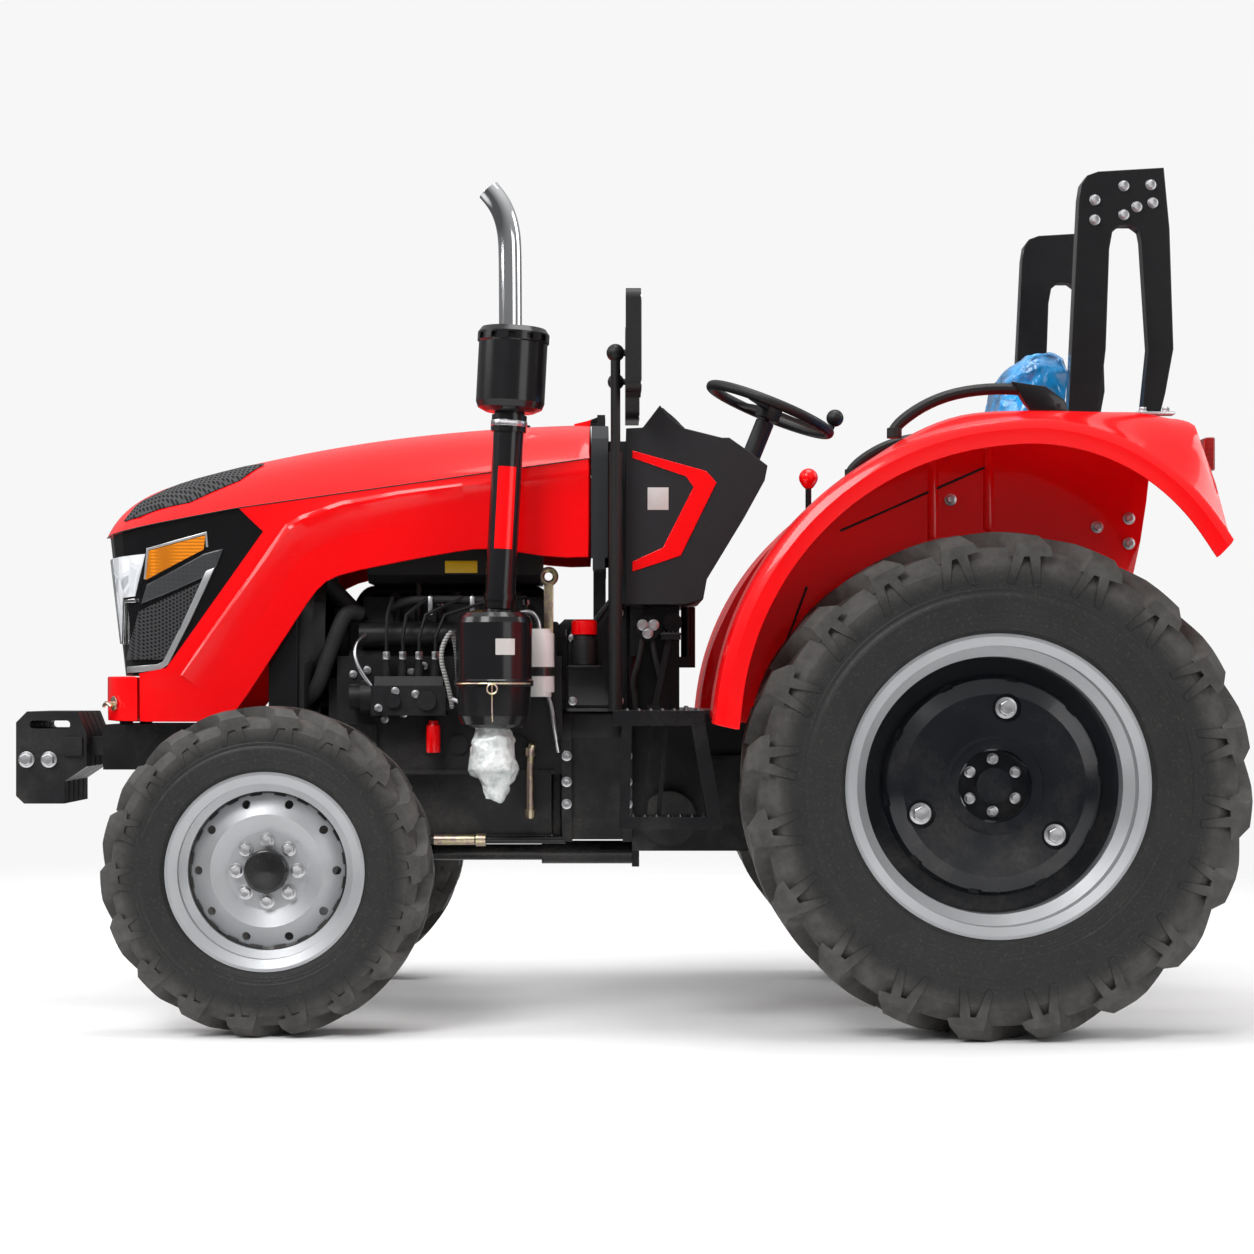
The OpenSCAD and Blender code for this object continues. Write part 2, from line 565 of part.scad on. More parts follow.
// A point of the hood's top at a station and a share of its half width, d below the skin
function skin(x, s, d) = [x - d * 0.6 * run(x), s * plan_y(x, d),
  edge_z(x) + (top_z(x) - d - edge_z(x)) * (1 - pow(abs(s), 2.6))];
module hood_top() {
  function row(d) = [for (x = hood_x) [for (s = spread) skin(x, s, d)]];
  color([0.8, 0.03, 0.03]) difference() {
    union() {
      sheet(row(0), row(panel_t));
      both() plate_y(14, 36) union() {
        polygon([[hinge_x, hinge_z - 11], [hood_rear_x - 2, hinge_z - 11], [hood_rear_x + 5, hinge_z - 20],
          [hood_rear_x + 45, hinge_z - 20], [hood_rear_x + 45, hinge_z - 12], [hood_rear_x + 5, hinge_z - 3],
          [hinge_x, hinge_z + 11]]);
        translate([hinge_x, hinge_z]) circle(11);
      }
    }
    rod_y(hinge_x, hinge_z, -60, 60, hinge_pin_r + play);
  }
}
module mask_outline(m = 0) polygon([[nose_x + 20, edge_z(nose_x)], [nose_root_x + 3, edge_z(nose_root_x) + 8],
  [nose_x - 459 - m, 1292], [nose_x - 200 - m, mask_z0 + 20 - m], [nose_x - 97, mask_z0 - m],
  [nose_x + 20, mask_z0 - m]]);
side_x = [for (d = [945, 827, 681, 590, 494, 380, 260, 217, 160, 110, 60, 0, -35, -100, -160, -220, -262])
  back(d)];
module hood_side(s) {
  // Share of the panel's height at which its crease runs
  function crease(x) = lookup(x, [[back(500), 0.14], [back(185), 0.16], [back(134), 0.21], [back(-152), 0.757]]);
  // How far the lower rows turn in, less where they lap the mask
  function turn_in(x) = lookup(x, [[back(160), 1], [back(60), 0.2]]);
  function row(d) = [for (x = side_x) let(c = crease(x), m = turn_in(x))
    [for (q = [[0, 0], [c / 2, -1], [c, -4], [c + 0.06, 4 * m - 2], [mix(c, 1, 0.5), 9 * m], [1, 12 * m]])
      [x, plan_y(x, d) - q[1], mix(edge_z(x) - gap, low_z(x), q[0])]]];
  color([0.8, 0.03, 0.03]) on_side(s) difference() {
    sheet(row(0), row(panel_t));
    plate_y(0, 600) mask_outline();
  }
}
// A layer of the nose between two depths below its skin, from z0 up to the top panel's edge
module nose_layer(d0, d1, x0, z0) {
  turn = [for (q = [0:9]) q * 10];
  function side(d) = [for (a = turn) let(x = mix(x0, nose_x - d, a == 90 ? 1 : sin(a)))
    [x, plan_y(x, d)]];
  function plan(d) = let(p = side(d), n = len(p))
    concat(p, [for (i = [n - 2:-1:0]) [p[i][0], -p[i][1]]]);
  function row(d) = [for (p = plan(d)) [for (f = [0, 0.25, 0.5, 0.75, 1])
    let(z = mix(z0, edge_z(p[0]) - gap - (f == 1 ? 0.5 : 0), f))
    [p[0] - 46 * (1 - f) * pow(max(0, (p[0] - nose_root_x) / nose_l), 2), p[1], z]]];
  sheet(row(d1), row(d0));
}
module nose_mask() color([0.05, 0.05, 0.05]) difference() {
  nose_layer(panel_t + 2.5, panel_t * 2 + 2.5, nose_x - 467, mask_z0);
  plate_y(-600, 600) difference() {
    translate([nose_x - 647, 700]) square([520, 900]);
    mask_outline(24);
  }
}
module lens(outline) both() intersection() {
  nose_layer(1, panel_t + 2, nose_x - 467, mask_z0);
  plate_y(40, 500) polygon(outline);
}
module headlamps() color([0.9, 0.92, 0.95])
  lens([[nose_x + 10, 1222], [nose_x - 141, 1233], [nose_x - 111, 1120], [nose_x - 72, 1117],
    [nose_x - 62, 996], [nose_x + 10, 993]]);
module turn_lamps() color([0.95, 0.5, 0.05]) lens([[nose_x - 151, 1241], [nose_x - 305, 1282],
  [nose_x - 300, 1244], [nose_x - 142, 1163]]);
vent_x = [for (d = [60, 0, -60, -130, -210, -270, -320]) back(d)];
module grille() color([0.04, 0.04, 0.04]) {
  lens([[nose_x - 122, 1079], [nose_x - 300, 1160], [nose_x - 196, 950], [nose_x - 77, 950]]);
  intersection() {
    nose_layer(1, panel_t + 2, nose_x - 467, mask_z0);
    box(nose_x - 150, nose_x + 10, -36, 36, 960, 1210);
  }
  for (side = [-1, 1]) intersection() {
    sheet([for (x = vent_x) [for (q = [1:5]) skin(x, spread[7 + side * q], -2.5)]],
      [for (x = vent_x) [for (q = [1:5]) skin(x, spread[7 + side * q], -0.5)]], side);
    plate_z(1200, 1600) scale([1, side]) polygon([[nose_x - 443, 120], [nose_x - 387, 186], [nose_x - 257, 226],
      [nose_x - 117, 214], [nose_x - 72, 186], [nose_x - 97, 146], [nose_x - 247, 104], [nose_x - 387, 92]]);
  }
}
module nose_panel() {
  turn = [for (q = [0:9]) q * 10];
  function side(d) = [for (a = turn) let(x = mix(nose_x - 119, nose_x - d, a == 90 ? 1 : sin(a))) [x, plan_y(x, d)]];
  function plan(d) = let(p = side(d), n = len(p)) concat(p, [for (i = [n - 2:-1:0]) [p[i][0], -p[i][1]]]);
  function row(d) = [for (p = plan(d)) [for (z = [nose_bottom_z, mask_z0 - 2]) [p[0], p[1], z]]];
  color([0.8, 0.03, 0.03]) {
    sheet(row(panel_t), row(0));
    difference() {
      plate_z(nose_bottom_z, nose_bottom_z + 6) polygon(plan(panel_t - 1));
      box(nose_x - 347, nose_x - 110, -170, 170, nose_bottom_z - 1, nose_bottom_z + 7);
    }
  }
}
module hood_band() color([0.2, 0.2, 0.21]) {
  h = plan_y(hood_rear_x);
  top = hood_top_z - 2;
  plate_x(band_x0, band_x1) difference() {
    polygon([[-h, 1221], [-h, top - 112], [-h + 26, top - 56], [-150, top - 12], [0, top],
      [150, top - 12], [h - 26, top - 56], [h, top - 112], [h, 1221]]);
    polygon([[-h + 40, 1200], [-h + 40, top - 120], [-140, top - 70], [140, top - 70], [h - 40, top - 120],
      [h - 40, 1200]]);
  }
  both() box(band_x0 + 8, band_x1 - 4, h - 40, h, 1190, 1230);
  both() box(band_x0 + 8, band_x1 - 4, 80, h, 1190, 1214);
  both() box(band_x0 + 8, band_x1 - 4, 80, 108, floor_z - 8, 1200);
  both() box(hinge_x - 11, hinge_x + 11, 42, 54, top - 12, hinge_z + 11);
  rod_y(hinge_x, hinge_z, -54, 54, hinge_pin_r);
}

// Driver's station

module console() color([0.18, 0.18, 0.19]) {
  h = console_half_w;
  plate_y(-h, h) polygon([[917, 1097], [917, 1570], [872, 1572], [826, 1632], [800, 1600], [760, 1570], [660, 1545],
    [640, 1545], [590, 1510], [537, 1470], [545, 1430], [600, 1330], [700, 1165], [710, 1110], [760, 1097]]);
  box(917, band_x0, -200, 200, 1100, 1540);
  translate([wheel_x, 0, wheel_z]) rotate([0, -steering_tilt, 0]) {
    translate([0, 0, -190]) cylinder(r = 26, h = 154);
    translate([0, 0, -40]) cylinder(r = column_r, h = 44);
  }
}
module console_stripes() color([0.8, 0.03, 0.03]) both() plate_y(console_half_w, console_half_w + 4) difference() {
  polygon([[900, 1510], [702, 1455], [674, 1424], [770, 1228], [900, 1185]]);
  polygon([[901, 1490], [756, 1440], [736, 1412], [818, 1250], [901, 1212]]);
}
module console_pedestal() color([0.1, 0.1, 0.1]) {
  box(770, 890, -90, 90, floor_z, 1097);
  rod_y(858, 1036, 90, 190, 34);
  rod_y(790, 1052, 90, 160, 26);
  box(870, 905, 60, 170, 960, 1097);
  rod_z(745, 40, 930, 1097, 20);
  box(738, 775, 20, 60, 930, 960);
}
module steering_wheel() color([0.06, 0.06, 0.06])
  translate([wheel_x, 0, wheel_z]) rotate([0, -steering_tilt, 0]) {
    rotate_extrude() translate([steering_wheel_d / 2 - 14, 0]) circle(14, $fn = 20);
    difference() {
      translate([0, 0, -28]) cylinder(r = 34, h = 44);
      translate([0, 0, -29]) cylinder(r = column_r + play, h = 36);
    }
    for (a = [60, 180, 300]) rotate(a) translate([28, -13, -6]) cube([steering_wheel_d / 2 - 40, 26, 10]);
    rotate(180) translate([steering_wheel_d / 2 - 14, 0, 8]) cylinder(r = 9, h = 30);
    rotate(180) translate([steering_wheel_d / 2 - 14, 0, 46]) sphere(r = 24);
  }
module platform() color([0.09, 0.09, 0.09]) {
  w = fender_wall_y - gap;
  wing_x = front_arc[0][0] + 12 + room;
  step_in_y = step_half_w - 150;
  box(250, 951, -w, w, floor_z - 8, floor_z);
  both() box(wing_x, 951, w - 1, step_half_w, floor_z - 8, floor_z);
  both() box(wing_x, 951, step_half_w - 8, step_half_w, floor_z - 38, floor_z);
  both() box(943, 951, 180, step_half_w, floor_z - 38, floor_z);
  both() {
    box(672, 936, step_in_y, step_half_w, 538, 546);
    box(672, 936, step_half_w - 8, step_half_w, 516, 546);
    for (x = [848, 812])
      plate_y(step_half_w - 80, step_half_w - 68) strap([x, floor_z - 4], [x + 22, 542], 12);
    for (y = [step_in_y + 2, step_half_w - 8]) {
      plate_y(y, y + 8) strap([915, floor_z - 4], [922, 530], 26);
      plate_y(y, y + 8) strap([wing_x + 22, floor_z - 4], [690, 530], 36);
    }
  }
}
module controls() color([0.12, 0.12, 0.12]) {
  for (y = [150, 200, -170]) {
    plate_y(y, y + 14) strap([840, floor_z + 6], [800, 1010], 16);
    box(770, 822, y - 20, y + 34, 1004, 1016);
    box(825, 860, y - 10, y + 24, floor_z, floor_z + 12);
  }
  rod_z(434, 330, floor_z, 1420, 8);
  translate([434, 330, 1430]) sphere(r = 24);
  rod_z(520, 60, floor_z, 1180, 10);
  translate([520, 60, 1190]) sphere(r = 24);
}
module mirrors() color([0.07, 0.07, 0.07]) both() {
  rod_z(945, post_y, floor_z, 1500, 18);
  rod_z(945, post_y, 1490, 1763, 13);
  translate([945, post_y, 1763]) sphere(r = 24);
  rod_x(post_y, 1763, 906, 945, 9);
  plate_x(878, 918) translate([post_y + 40, 1783]) round_rect(170, mirror_h, 28);
}

// Fenders

front_arc = [[700, 783], [690, 1150], [400, 1525], [-60, 1535]];
rear_arc = [[-60, 1535], [-230, 1538], [-440, 1470], [-573, 1236]];
arc = concat([for (i = [0:10]) bezier(front_arc, i / 10)], [for (i = [1:8]) bezier(rear_arc, i / 8)]);
function outward(p) = let(d = p - [0, rear_r]) d / norm(d);
function deck(p) = [max(p[0], -557), p[0] > 250 ? p[1] + 12 : p[0] > 60 ? mix(deck_z, p[1] + 12, (p[0] - 60) / 190)
  : p[0] > -430 ? deck_z : p[0] > -540 ? deck_z - 0.4 * (-430 - p[0]) : 1425];
function deck_top(x) = lookup(x, [for (p = arc) if (p[0] < 600) deck(p)]);
module fender(s) {
  y1 = fender_lip_y;
  y0 = fender_wall_y;
  t = fender_t;
  function row(d, e) = [for (p = arc) let(n = outward(p), q = deck(p) - d * n)
    [for (c = [[p - 62 * n, y1 - 10 - e], [p - 24 * n, y1 - e], [p - d * n, y1 - 12 - e * 0.6],
      [p + (10 - d) * n, 760],
      [mix(p - d * n, q, 0.8), 690], [q, 640], [q, y0]]) [c[0][0], c[1], c[0][1]]]];
  color([0.8, 0.03, 0.03]) on_side(s) {
    sheet(row(0, 0), row(t, t));
    plate_y(y0, y0 + t) polygon(concat([for (p = arc) if (p[0] > -480) deck(p) - t / 2 * outward(p)],
      [[-425, 1156], [-250, rear_r + 115], [250, rear_r + 115], [620, 783]]));
  }
}
module tail_lamps() color([0.6, 0.05, 0.03]) both() box(-582, -557 - gap, 470, 590, 1427, 1512);
module grab_rails() color([0.06, 0.06, 0.06]) both() {
  y = 600;
  foot_r = 19;
  foot_z = deck_top(236 - foot_r) + gap;
  a = [[236, foot_z + 20], [228, foot_z + 34], [190, 1575], [110, 1618], [0, 1636], [-100, 1632], [-145, 1620],
    [-170, deck_z + 22], [-178, deck_z + 10]];
  tube([for (p = a) [p[0], y, p[1]]], 15);
  rod_z(236, y, foot_z, foot_z + 26, foot_r);
  rod_z(-178, y, deck_z + gap, deck_z + 18, foot_r);
}
module arch_outline() difference() {
  polygon([[-226, deck_z], [-254, arch_z - 80], [-260, arch_z - 42], [-276, arch_z - 20], [-304, arch_z - 10],
    [-474, arch_z], [-489, arch_z - 158], [-499, deck_z + 175], [-478, deck_z + 60], [-463, deck_z]]);
  polygon([[-304, deck_z - 1], [-324, deck_z + 175], [-333, arch_z - 210], [-341, arch_z - 166], [-360, arch_z - 150],
    [-392, arch_z - 150], [-411, arch_z - 164], [-416, arch_z - 190], [-434, deck_z + 175], [-416, deck_z - 1]]);
}
module safety_arches() color([0.07, 0.07, 0.07]) both()
  plate_y(arch_y - arch_t / 2, arch_y + arch_t / 2) arch_outline();
module seat_base() color([0.08, 0.08, 0.08]) {
  box(20, 160, -150, 150, 850, 1240);
  box(-230, 200, -190, 190, 1240, 1262);
}
module seat() color([0.15, 0.3, 0.75]) {
  plate_y(-230, 230) polygon([[210, 1262], [235, seat_z - 60], [215, seat_z - 10], [140, seat_z], [-80, seat_z - 20],
    [-54, seat_z + 40], [-120, 1740], [-170, 1800], [-230, 1813], [-275, 1790], [-288, 1740], [-230, seat_z],
    [-200, 1262]]);
}

// Stacks

module air_cleaner() color([0.07, 0.07, 0.07]) {
  x = 1263;
  translate([x, stack_y, 0]) rotate_extrude() polygon([[0, 770], [72, 770], [84, 778], [93, 800], [98, 876],
    [cleaner_r + 4, 880], [cleaner_r + 4, 892], [cleaner_r, 896], [cleaner_r, 1044], [96, 1058], [84, 1070],
    [60, 1076], [intake_r, 1080], [0, 1080]]);
  box(x - 40, x + 40, engine_w / 2, stack_y - cleaner_r + 12, 905, 945);
}
module intake_stack() color([0.07, 0.07, 0.07]) {
  translate([1249, stack_y, 1080 + gap + (intake_r - 14) * sin(3)]) rotate([0, -3, 0]) {
    cylinder(r = intake_r, h = 470);
    translate([0, 0, 20]) cylinder(r = intake_r + 4, h = 18);
    translate([0, 0, 462]) cylinder(r = intake_r + 6, h = 44);
    translate([0, 0, 506]) cylinder(r = intake_r, h = 20);
    difference() {
      translate([0, 0, 514]) rotate_extrude() polygon([[0, 0], [64, 0], [84, 10], [90, 26], [90, 180], [94, 184],
        [94, 206], [84, 220], [0, 224]]);
      for (i = [0:11]) rotate(i * 30) translate([84, -9, 514 + 186]) cube([20, 18, 15]);
    }
  }
}
module fuel_bowl() color([0.85, 0.87, 0.85]) {
  translate([1263, stack_y, 0]) rotate_extrude() polygon([[0, 579], [28, 579], [34, 620], [67, 660],
    [52, 740], [40, 757],
    [40, 770 - gap], [0, 770 - gap]]);
}
module muffler() color([0.08, 0.08, 0.08]) {
  y = -362;
  box(1200, 1300, y - 20, -head_half_w, block_top_z + 40, block_top_z + 90);
  rod_x(22 - engine_w / 2, block_top_z + 65, 1150, 1600, 32);
  rod_z(1253, y, block_top_z + 40, 1180, 30);
  rod_z(1253, y, 1180, 1640, 58);
}
module exhaust_tip() color([0.8, 0.81, 0.83]) {
  y = -362;
  path = [[1253, y, 1640], [1253, y, 2150], [1257, y, 2200], [1267, y, 2250], [1288, y, 2295], [1318, y, 2330]];
  difference() {
    tube(path, exhaust_r, 24);
    tube([for (p = path) p + (p[2] > 2320 ? [9, 0, 10] : p[2] < 1650 ? [0, 0, 20] : [0, 0, 0])], exhaust_r - 3, 24);
  }
}

translate([-x_mid, 0, 0]) {
  front_frame();
  front_weights();
  front_axle();
  engine();
  fuel_tank();
  injection_pump();
  oil_filter();
  radiator();
  gearbox();
  rear_axle();
  drive_shaft();
  drawbar();
  knuckle(1);  // knuckle_left
  knuckle(-1);  // knuckle_right
  tie_rod();
  front_tyre(1);  // front_tyre_left
  front_tyre(-1);  // front_tyre_right
  front_rim(1);  // front_rim_left
  front_rim(-1);  // front_rim_right
  rear_tyre(1);  // rear_tyre_left
  rear_tyre(-1);  // rear_tyre_right
  rear_rim(1);  // rear_rim_left
  rear_rim(-1);  // rear_rim_right
  rear_weight(1);  // rear_weight_left
  rear_weight(-1);  // rear_weight_right
  hood_top();
  hood_side(1);  // hood_side_left
  hood_side(-1);  // hood_side_right
  nose_panel();
  nose_mask();
  headlamps();
  turn_lamps();
  grille();
  hood_band();
  console();
  console_stripes();
  console_pedestal();
  steering_wheel();
  air_cleaner();
  intake_stack();
  fuel_bowl();
  muffler();
  exhaust_tip();
  platform();
  controls();
  mirrors();
  fender(1);  // fender_left
  fender(-1);  // fender_right
  tail_lamps();
  grab_rails();
  safety_arches();
  seat_base();
  seat();
  lift_arms();
  lift_rods();
  lower_links();
}
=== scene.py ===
import json
import math

import bpy
from bpy.props import FloatProperty, FloatVectorProperty, PointerProperty
from mathutils import Matrix, Vector


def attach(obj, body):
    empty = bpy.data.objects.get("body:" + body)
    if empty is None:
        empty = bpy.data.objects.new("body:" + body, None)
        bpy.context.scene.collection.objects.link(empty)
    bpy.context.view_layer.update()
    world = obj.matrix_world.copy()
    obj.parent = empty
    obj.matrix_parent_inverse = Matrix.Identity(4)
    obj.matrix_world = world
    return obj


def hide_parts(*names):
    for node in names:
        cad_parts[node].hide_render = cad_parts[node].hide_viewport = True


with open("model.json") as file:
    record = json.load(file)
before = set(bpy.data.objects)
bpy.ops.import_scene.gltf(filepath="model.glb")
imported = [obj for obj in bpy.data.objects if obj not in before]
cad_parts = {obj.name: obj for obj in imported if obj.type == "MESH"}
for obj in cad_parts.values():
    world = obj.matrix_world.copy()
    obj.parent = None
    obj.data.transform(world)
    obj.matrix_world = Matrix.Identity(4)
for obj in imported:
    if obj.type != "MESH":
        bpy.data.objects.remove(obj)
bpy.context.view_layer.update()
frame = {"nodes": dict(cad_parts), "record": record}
NODES = frame["nodes"]

bl_info = {
    "name": "Compact Farm Tractor",
    "version": (1, 0, 0),
    "blender": (4, 5, 0),
    "location": "View3D > Sidebar > Tractor",
    "description": "Paints the tractor's frame and models its fittings, seat film and stage",
    "category": "Object",
}


# Sizes and colours


class TractorPaint(bpy.types.PropertyGroup):
    """Colours of the tractor's finishes."""

    body: FloatVectorProperty(
        name="Body paint", description="Red of the hood and fenders", subtype="COLOR", size=3,
        min=0, max=1, default=(0.94, 0.0008, 0.003),
    )
    chassis: FloatVectorProperty(
        name="Chassis paint", description="Black of the frame, arches and steps", subtype="COLOR", size=3,
        min=0, max=1, default=(0.006, 0.006, 0.0068),
    )
    rim: FloatVectorProperty(
        name="Rim paint", description="Silver of the wheel rims", subtype="COLOR", size=3,
        min=0, max=1, default=(0.44, 0.45, 0.465),
    )
    film: FloatVectorProperty(
        name="Seat film", description="Blue of the seat's wrapping film", subtype="COLOR", size=3,
        min=0, max=1, default=(0.004, 0.36, 0.86),
    )
    console: FloatVectorProperty(
        name="Console plastic", description="Grey of the console and hood band", subtype="COLOR", size=3,
        min=0, max=1, default=(0.011, 0.0125, 0.0145),
    )


class TractorSizes(bpy.types.PropertyGroup):
    """Sizes of the pieces that are modelled here."""

    bolt: FloatProperty(
        name="Wheel bolt", description="Width of a wheel bolt's head across its flats", unit="LENGTH",
        min=0.01, max=0.05, default=0.026,
    )
    edge: FloatProperty(
        name="Edge rounding", description="Rounding of the edges of plates and mouldings", unit="LENGTH",
        min=0.0005, max=0.005, default=0.002,
    )
    lens: FloatProperty(
        name="Camera lens", description="Focal length of the camera", subtype="DISTANCE_CAMERA",
        min=20, max=200, default=72.3,
    )
    mesh_pitch: FloatProperty(
        name="Mesh pitch", description="Distance between the wires of the grille meshes", unit="LENGTH",
        min=0.004, max=0.03, default=0.0105,
    )


# Shader maths


class Value:
    """A socket that can be used in Python expressions."""

    def __init__(self, paint, socket):
        self.paint, self.socket = paint, socket

    def _math(self, kind, a, b=None):
        return self.paint.node("ShaderNodeMath", {"operation": kind}, {0: a} if b is None else {0: a, 1: b})

    def __add__(self, o):
        return self._math("ADD", self, o)

    __radd__ = __add__

    def __sub__(self, o):
        return self._math("SUBTRACT", self, o)

    def __rsub__(self, o):
        return self._math("SUBTRACT", o, self)

    def __mul__(self, o):
        return self._math("MULTIPLY", self, o)

    def __pow__(self, o):
        return self._math("POWER", self, o)

    def __abs__(self):
        return self._math("ABSOLUTE", self)

    def wave(self):
        return self._math("SINE", self)

    def least(self, o):
        return self._math("MINIMUM", self, o)

    def over(self, edge, soft):
        """0 below edge and 1 above it, with a soft step between."""
        return self.paint.node(
            "ShaderNodeMapRange", {"interpolation_type": "SMOOTHSTEP", "clamp": True},
            {"Value": self, "From Min": edge - soft, "From Max": edge + soft},
        )


class Paint:
    """A node material whose surface is one Principled shader."""

    def __init__(self, name, **constants):
        self.material = bpy.data.materials.new(name)
        self.material.use_nodes = True
        self.tree = self.material.node_tree
        self.shader = self.tree.nodes["Principled BSDF"]
        for key, value in constants.items():
            self.put(key.replace("_", " "), value)

    def put(self, socket, value):
        """Sets or links one of the shader's sockets."""
        target = self.shader.inputs[socket]
        if isinstance(value, Value):
            self.tree.links.new(value.socket, target)
        elif hasattr(value, "__len__") and len(value) == 3:
            target.default_value = (*value, 1)
        else:
            target.default_value = value
        return self

    def node(self, kind, settings=None, sockets=None, out=0):
        """Adds a node: its settings first, then the values or links of its sockets."""
        made = self.tree.nodes.new(kind)
        for key, value in (settings or {}).items():
            if key == "stops":
                ramp = made.color_ramp.elements
                while len(ramp) < len(value):
                    ramp.new(0.5)
                for stop, (place, colour) in zip(ramp, value):
                    stop.position, stop.color = place, (*colour, 1)
            else:
                setattr(made, key, value)
        for key, value in (sockets or {}).items():
            if isinstance(value, Value):
                self.tree.links.new(value.socket, made.inputs[key])
            elif hasattr(value, "__len__") and len(made.inputs[key].default_value) == 4 and len(value) == 3:
                made.inputs[key].default_value = (*value, 1)
            else:
                made.inputs[key].default_value = value
        return Value(self, made.outputs[out])

    def place(self):
        return self.node("ShaderNodeTexCoord", out="Object")

    def axes(self, place=None):
        """The three coordinates of a point."""
        split = self.node("ShaderNodeSeparateXYZ", {}, {0: place or self.place()})
        outs = split.socket.node.outputs
        return tuple(Value(self, outs[i]) for i in range(3))

    def noise(self, scale, detail=4.0, rough=0.55, stretch=None):
        place = self.place()
        if stretch:
            place = self.node("ShaderNodeMapping", {}, {"Vector": place, "Scale": stretch})
        return self.node(
            "ShaderNodeTexNoise", {}, {"Vector": place, "Scale": scale, "Detail": detail, "Roughness": rough}
        )

    def cells(self, scale, feature="F1"):
        return self.node(
            "ShaderNodeTexVoronoi", {"feature": feature}, {"Vector": self.place(), "Scale": scale}
        )

    def blend(self, factor, a, b):
        """A colour between two colours."""
        return self.node("ShaderNodeMix", {"data_type": "RGBA"}, {0: factor, 6: a, 7: b}, out=2)

    def ramp(self, factor, stops):
        return self.node("ShaderNodeValToRGB", {"stops": stops}, {0: factor})

    def bump(self, height, strength, distance):
        made = self.node("ShaderNodeBump", {}, {"Strength": strength, "Distance": distance, "Height": height})
        return self.put("Normal", made)

    def radius(self, x, z):
        """Distance from an axle that runs across the tractor."""
        px, _, pz = self.axes()
        return ((px - x) ** 2 + (pz - z) ** 2) ** 0.5


# Places, in metres for the axles and in millimetres from the rear axle for the rest

STATION = 0.938009
REAR_AXLE = (-STATION, 0.67, 0.63)
FRONT_AXLE = (1.82 - STATION, 0.635, 0.414)
CAMERA = (933, 7000, 869)
PHOTO_WIDTH, PHOTO_MIDDLE, PHOTO_FOCUS = 1254, (620, 690), 2520
FACE_LEFT = Matrix.Rotation(math.radians(-90), 4, "X")
FACE_RIGHT = Matrix.Rotation(math.radians(90), 4, "X")
SIDES = (("left", 1, FACE_LEFT), ("right", -1, FACE_RIGHT))
MIRROR = Matrix.Scale(-1, 4, Vector((0, 1, 0)))


def at(x, y, z):
    """A point from millimetres, with the station counted from the rear axle."""
    return Vector((x / 1000 - STATION, y / 1000, z / 1000))


def seen(px, py, y):
    """The station and height, at a distance from the middle, that a spot of the photo shows."""
    scale = (CAMERA[1] - y) / PHOTO_FOCUS
    return CAMERA[0] - (px - PHOTO_MIDDLE[0]) * scale, CAMERA[2] - (py - PHOTO_MIDDLE[1]) * scale


def put(point, turn=None):
    return Matrix.Translation(point) @ (turn or Matrix())


def on_sides(y, points):
    """Places on the left and the right face, for points of the side view."""
    return [put(at(x, way * y, z), turn) for _, way, turn in SIDES for x, z in points]


# Finishes


def dusty(paint, colour, amount):
    """Dust that gathers low on the tractor, in patches."""
    _, _, z = paint.axes()
    low = 1 - z.over(0.55, 0.5)
    patches = paint.noise(6, 6).over(0.55, 0.16)
    return paint.blend(low * patches * paint.noise(90, 3) * amount, colour, (0.23, 0.21, 0.185))


def shades(colour, *factors):
    """Darker and lighter forms of a colour."""
    return [[min(1, c * factor) for c in colour] for factor in factors]


def plain(name, tone, colours, rough, relief=None, dust=0, **constants):
    """A finish between two colours, with uneven gloss, a fine relief and dust."""
    p = Paint(name, **constants)
    base = p.blend(p.noise(*tone), *colours)
    p.put("Base Color", dusty(p, base, dust) if dust else base)
    p.put("Roughness", p.noise(*rough[:2]) * rough[2] + rough[3])
    if relief:
        p.bump(p.noise(*relief[:2]), *relief[2:])
    return p


def gloss_black(colour, name, base):
    return plain(name, (5, 3), shades(colour, 1, 1.7), (18, 5, 0.14, base), (180, 3, 0.08, 0.0008), 0.35,
                 Coat_Weight=0.25, Coat_Roughness=0.06, Specular_IOR_Level=0.3)


def cast_iron(colour, name):
    p = plain(name, (7, 4), shades(colour, 0.8, 2.0), (30, 5, 0.25, 0.3), None, 0.5, Specular_IOR_Level=0.22)
    return p.bump(p.noise(130, 5) + p.cells(60) * 0.5, 0.22, 0.0016)


def grained(colour, name):
    """Moulded plastic with a fine leather grain."""
    p = plain(name, (4, 3), shades(colour, 0.85, 1.3), (50, 4, 0.18, 0.4), Specular_IOR_Level=0.35)
    return p.bump(p.cells(330) + p.noise(500, 2) * 0.5, 0.16, 0.0006)


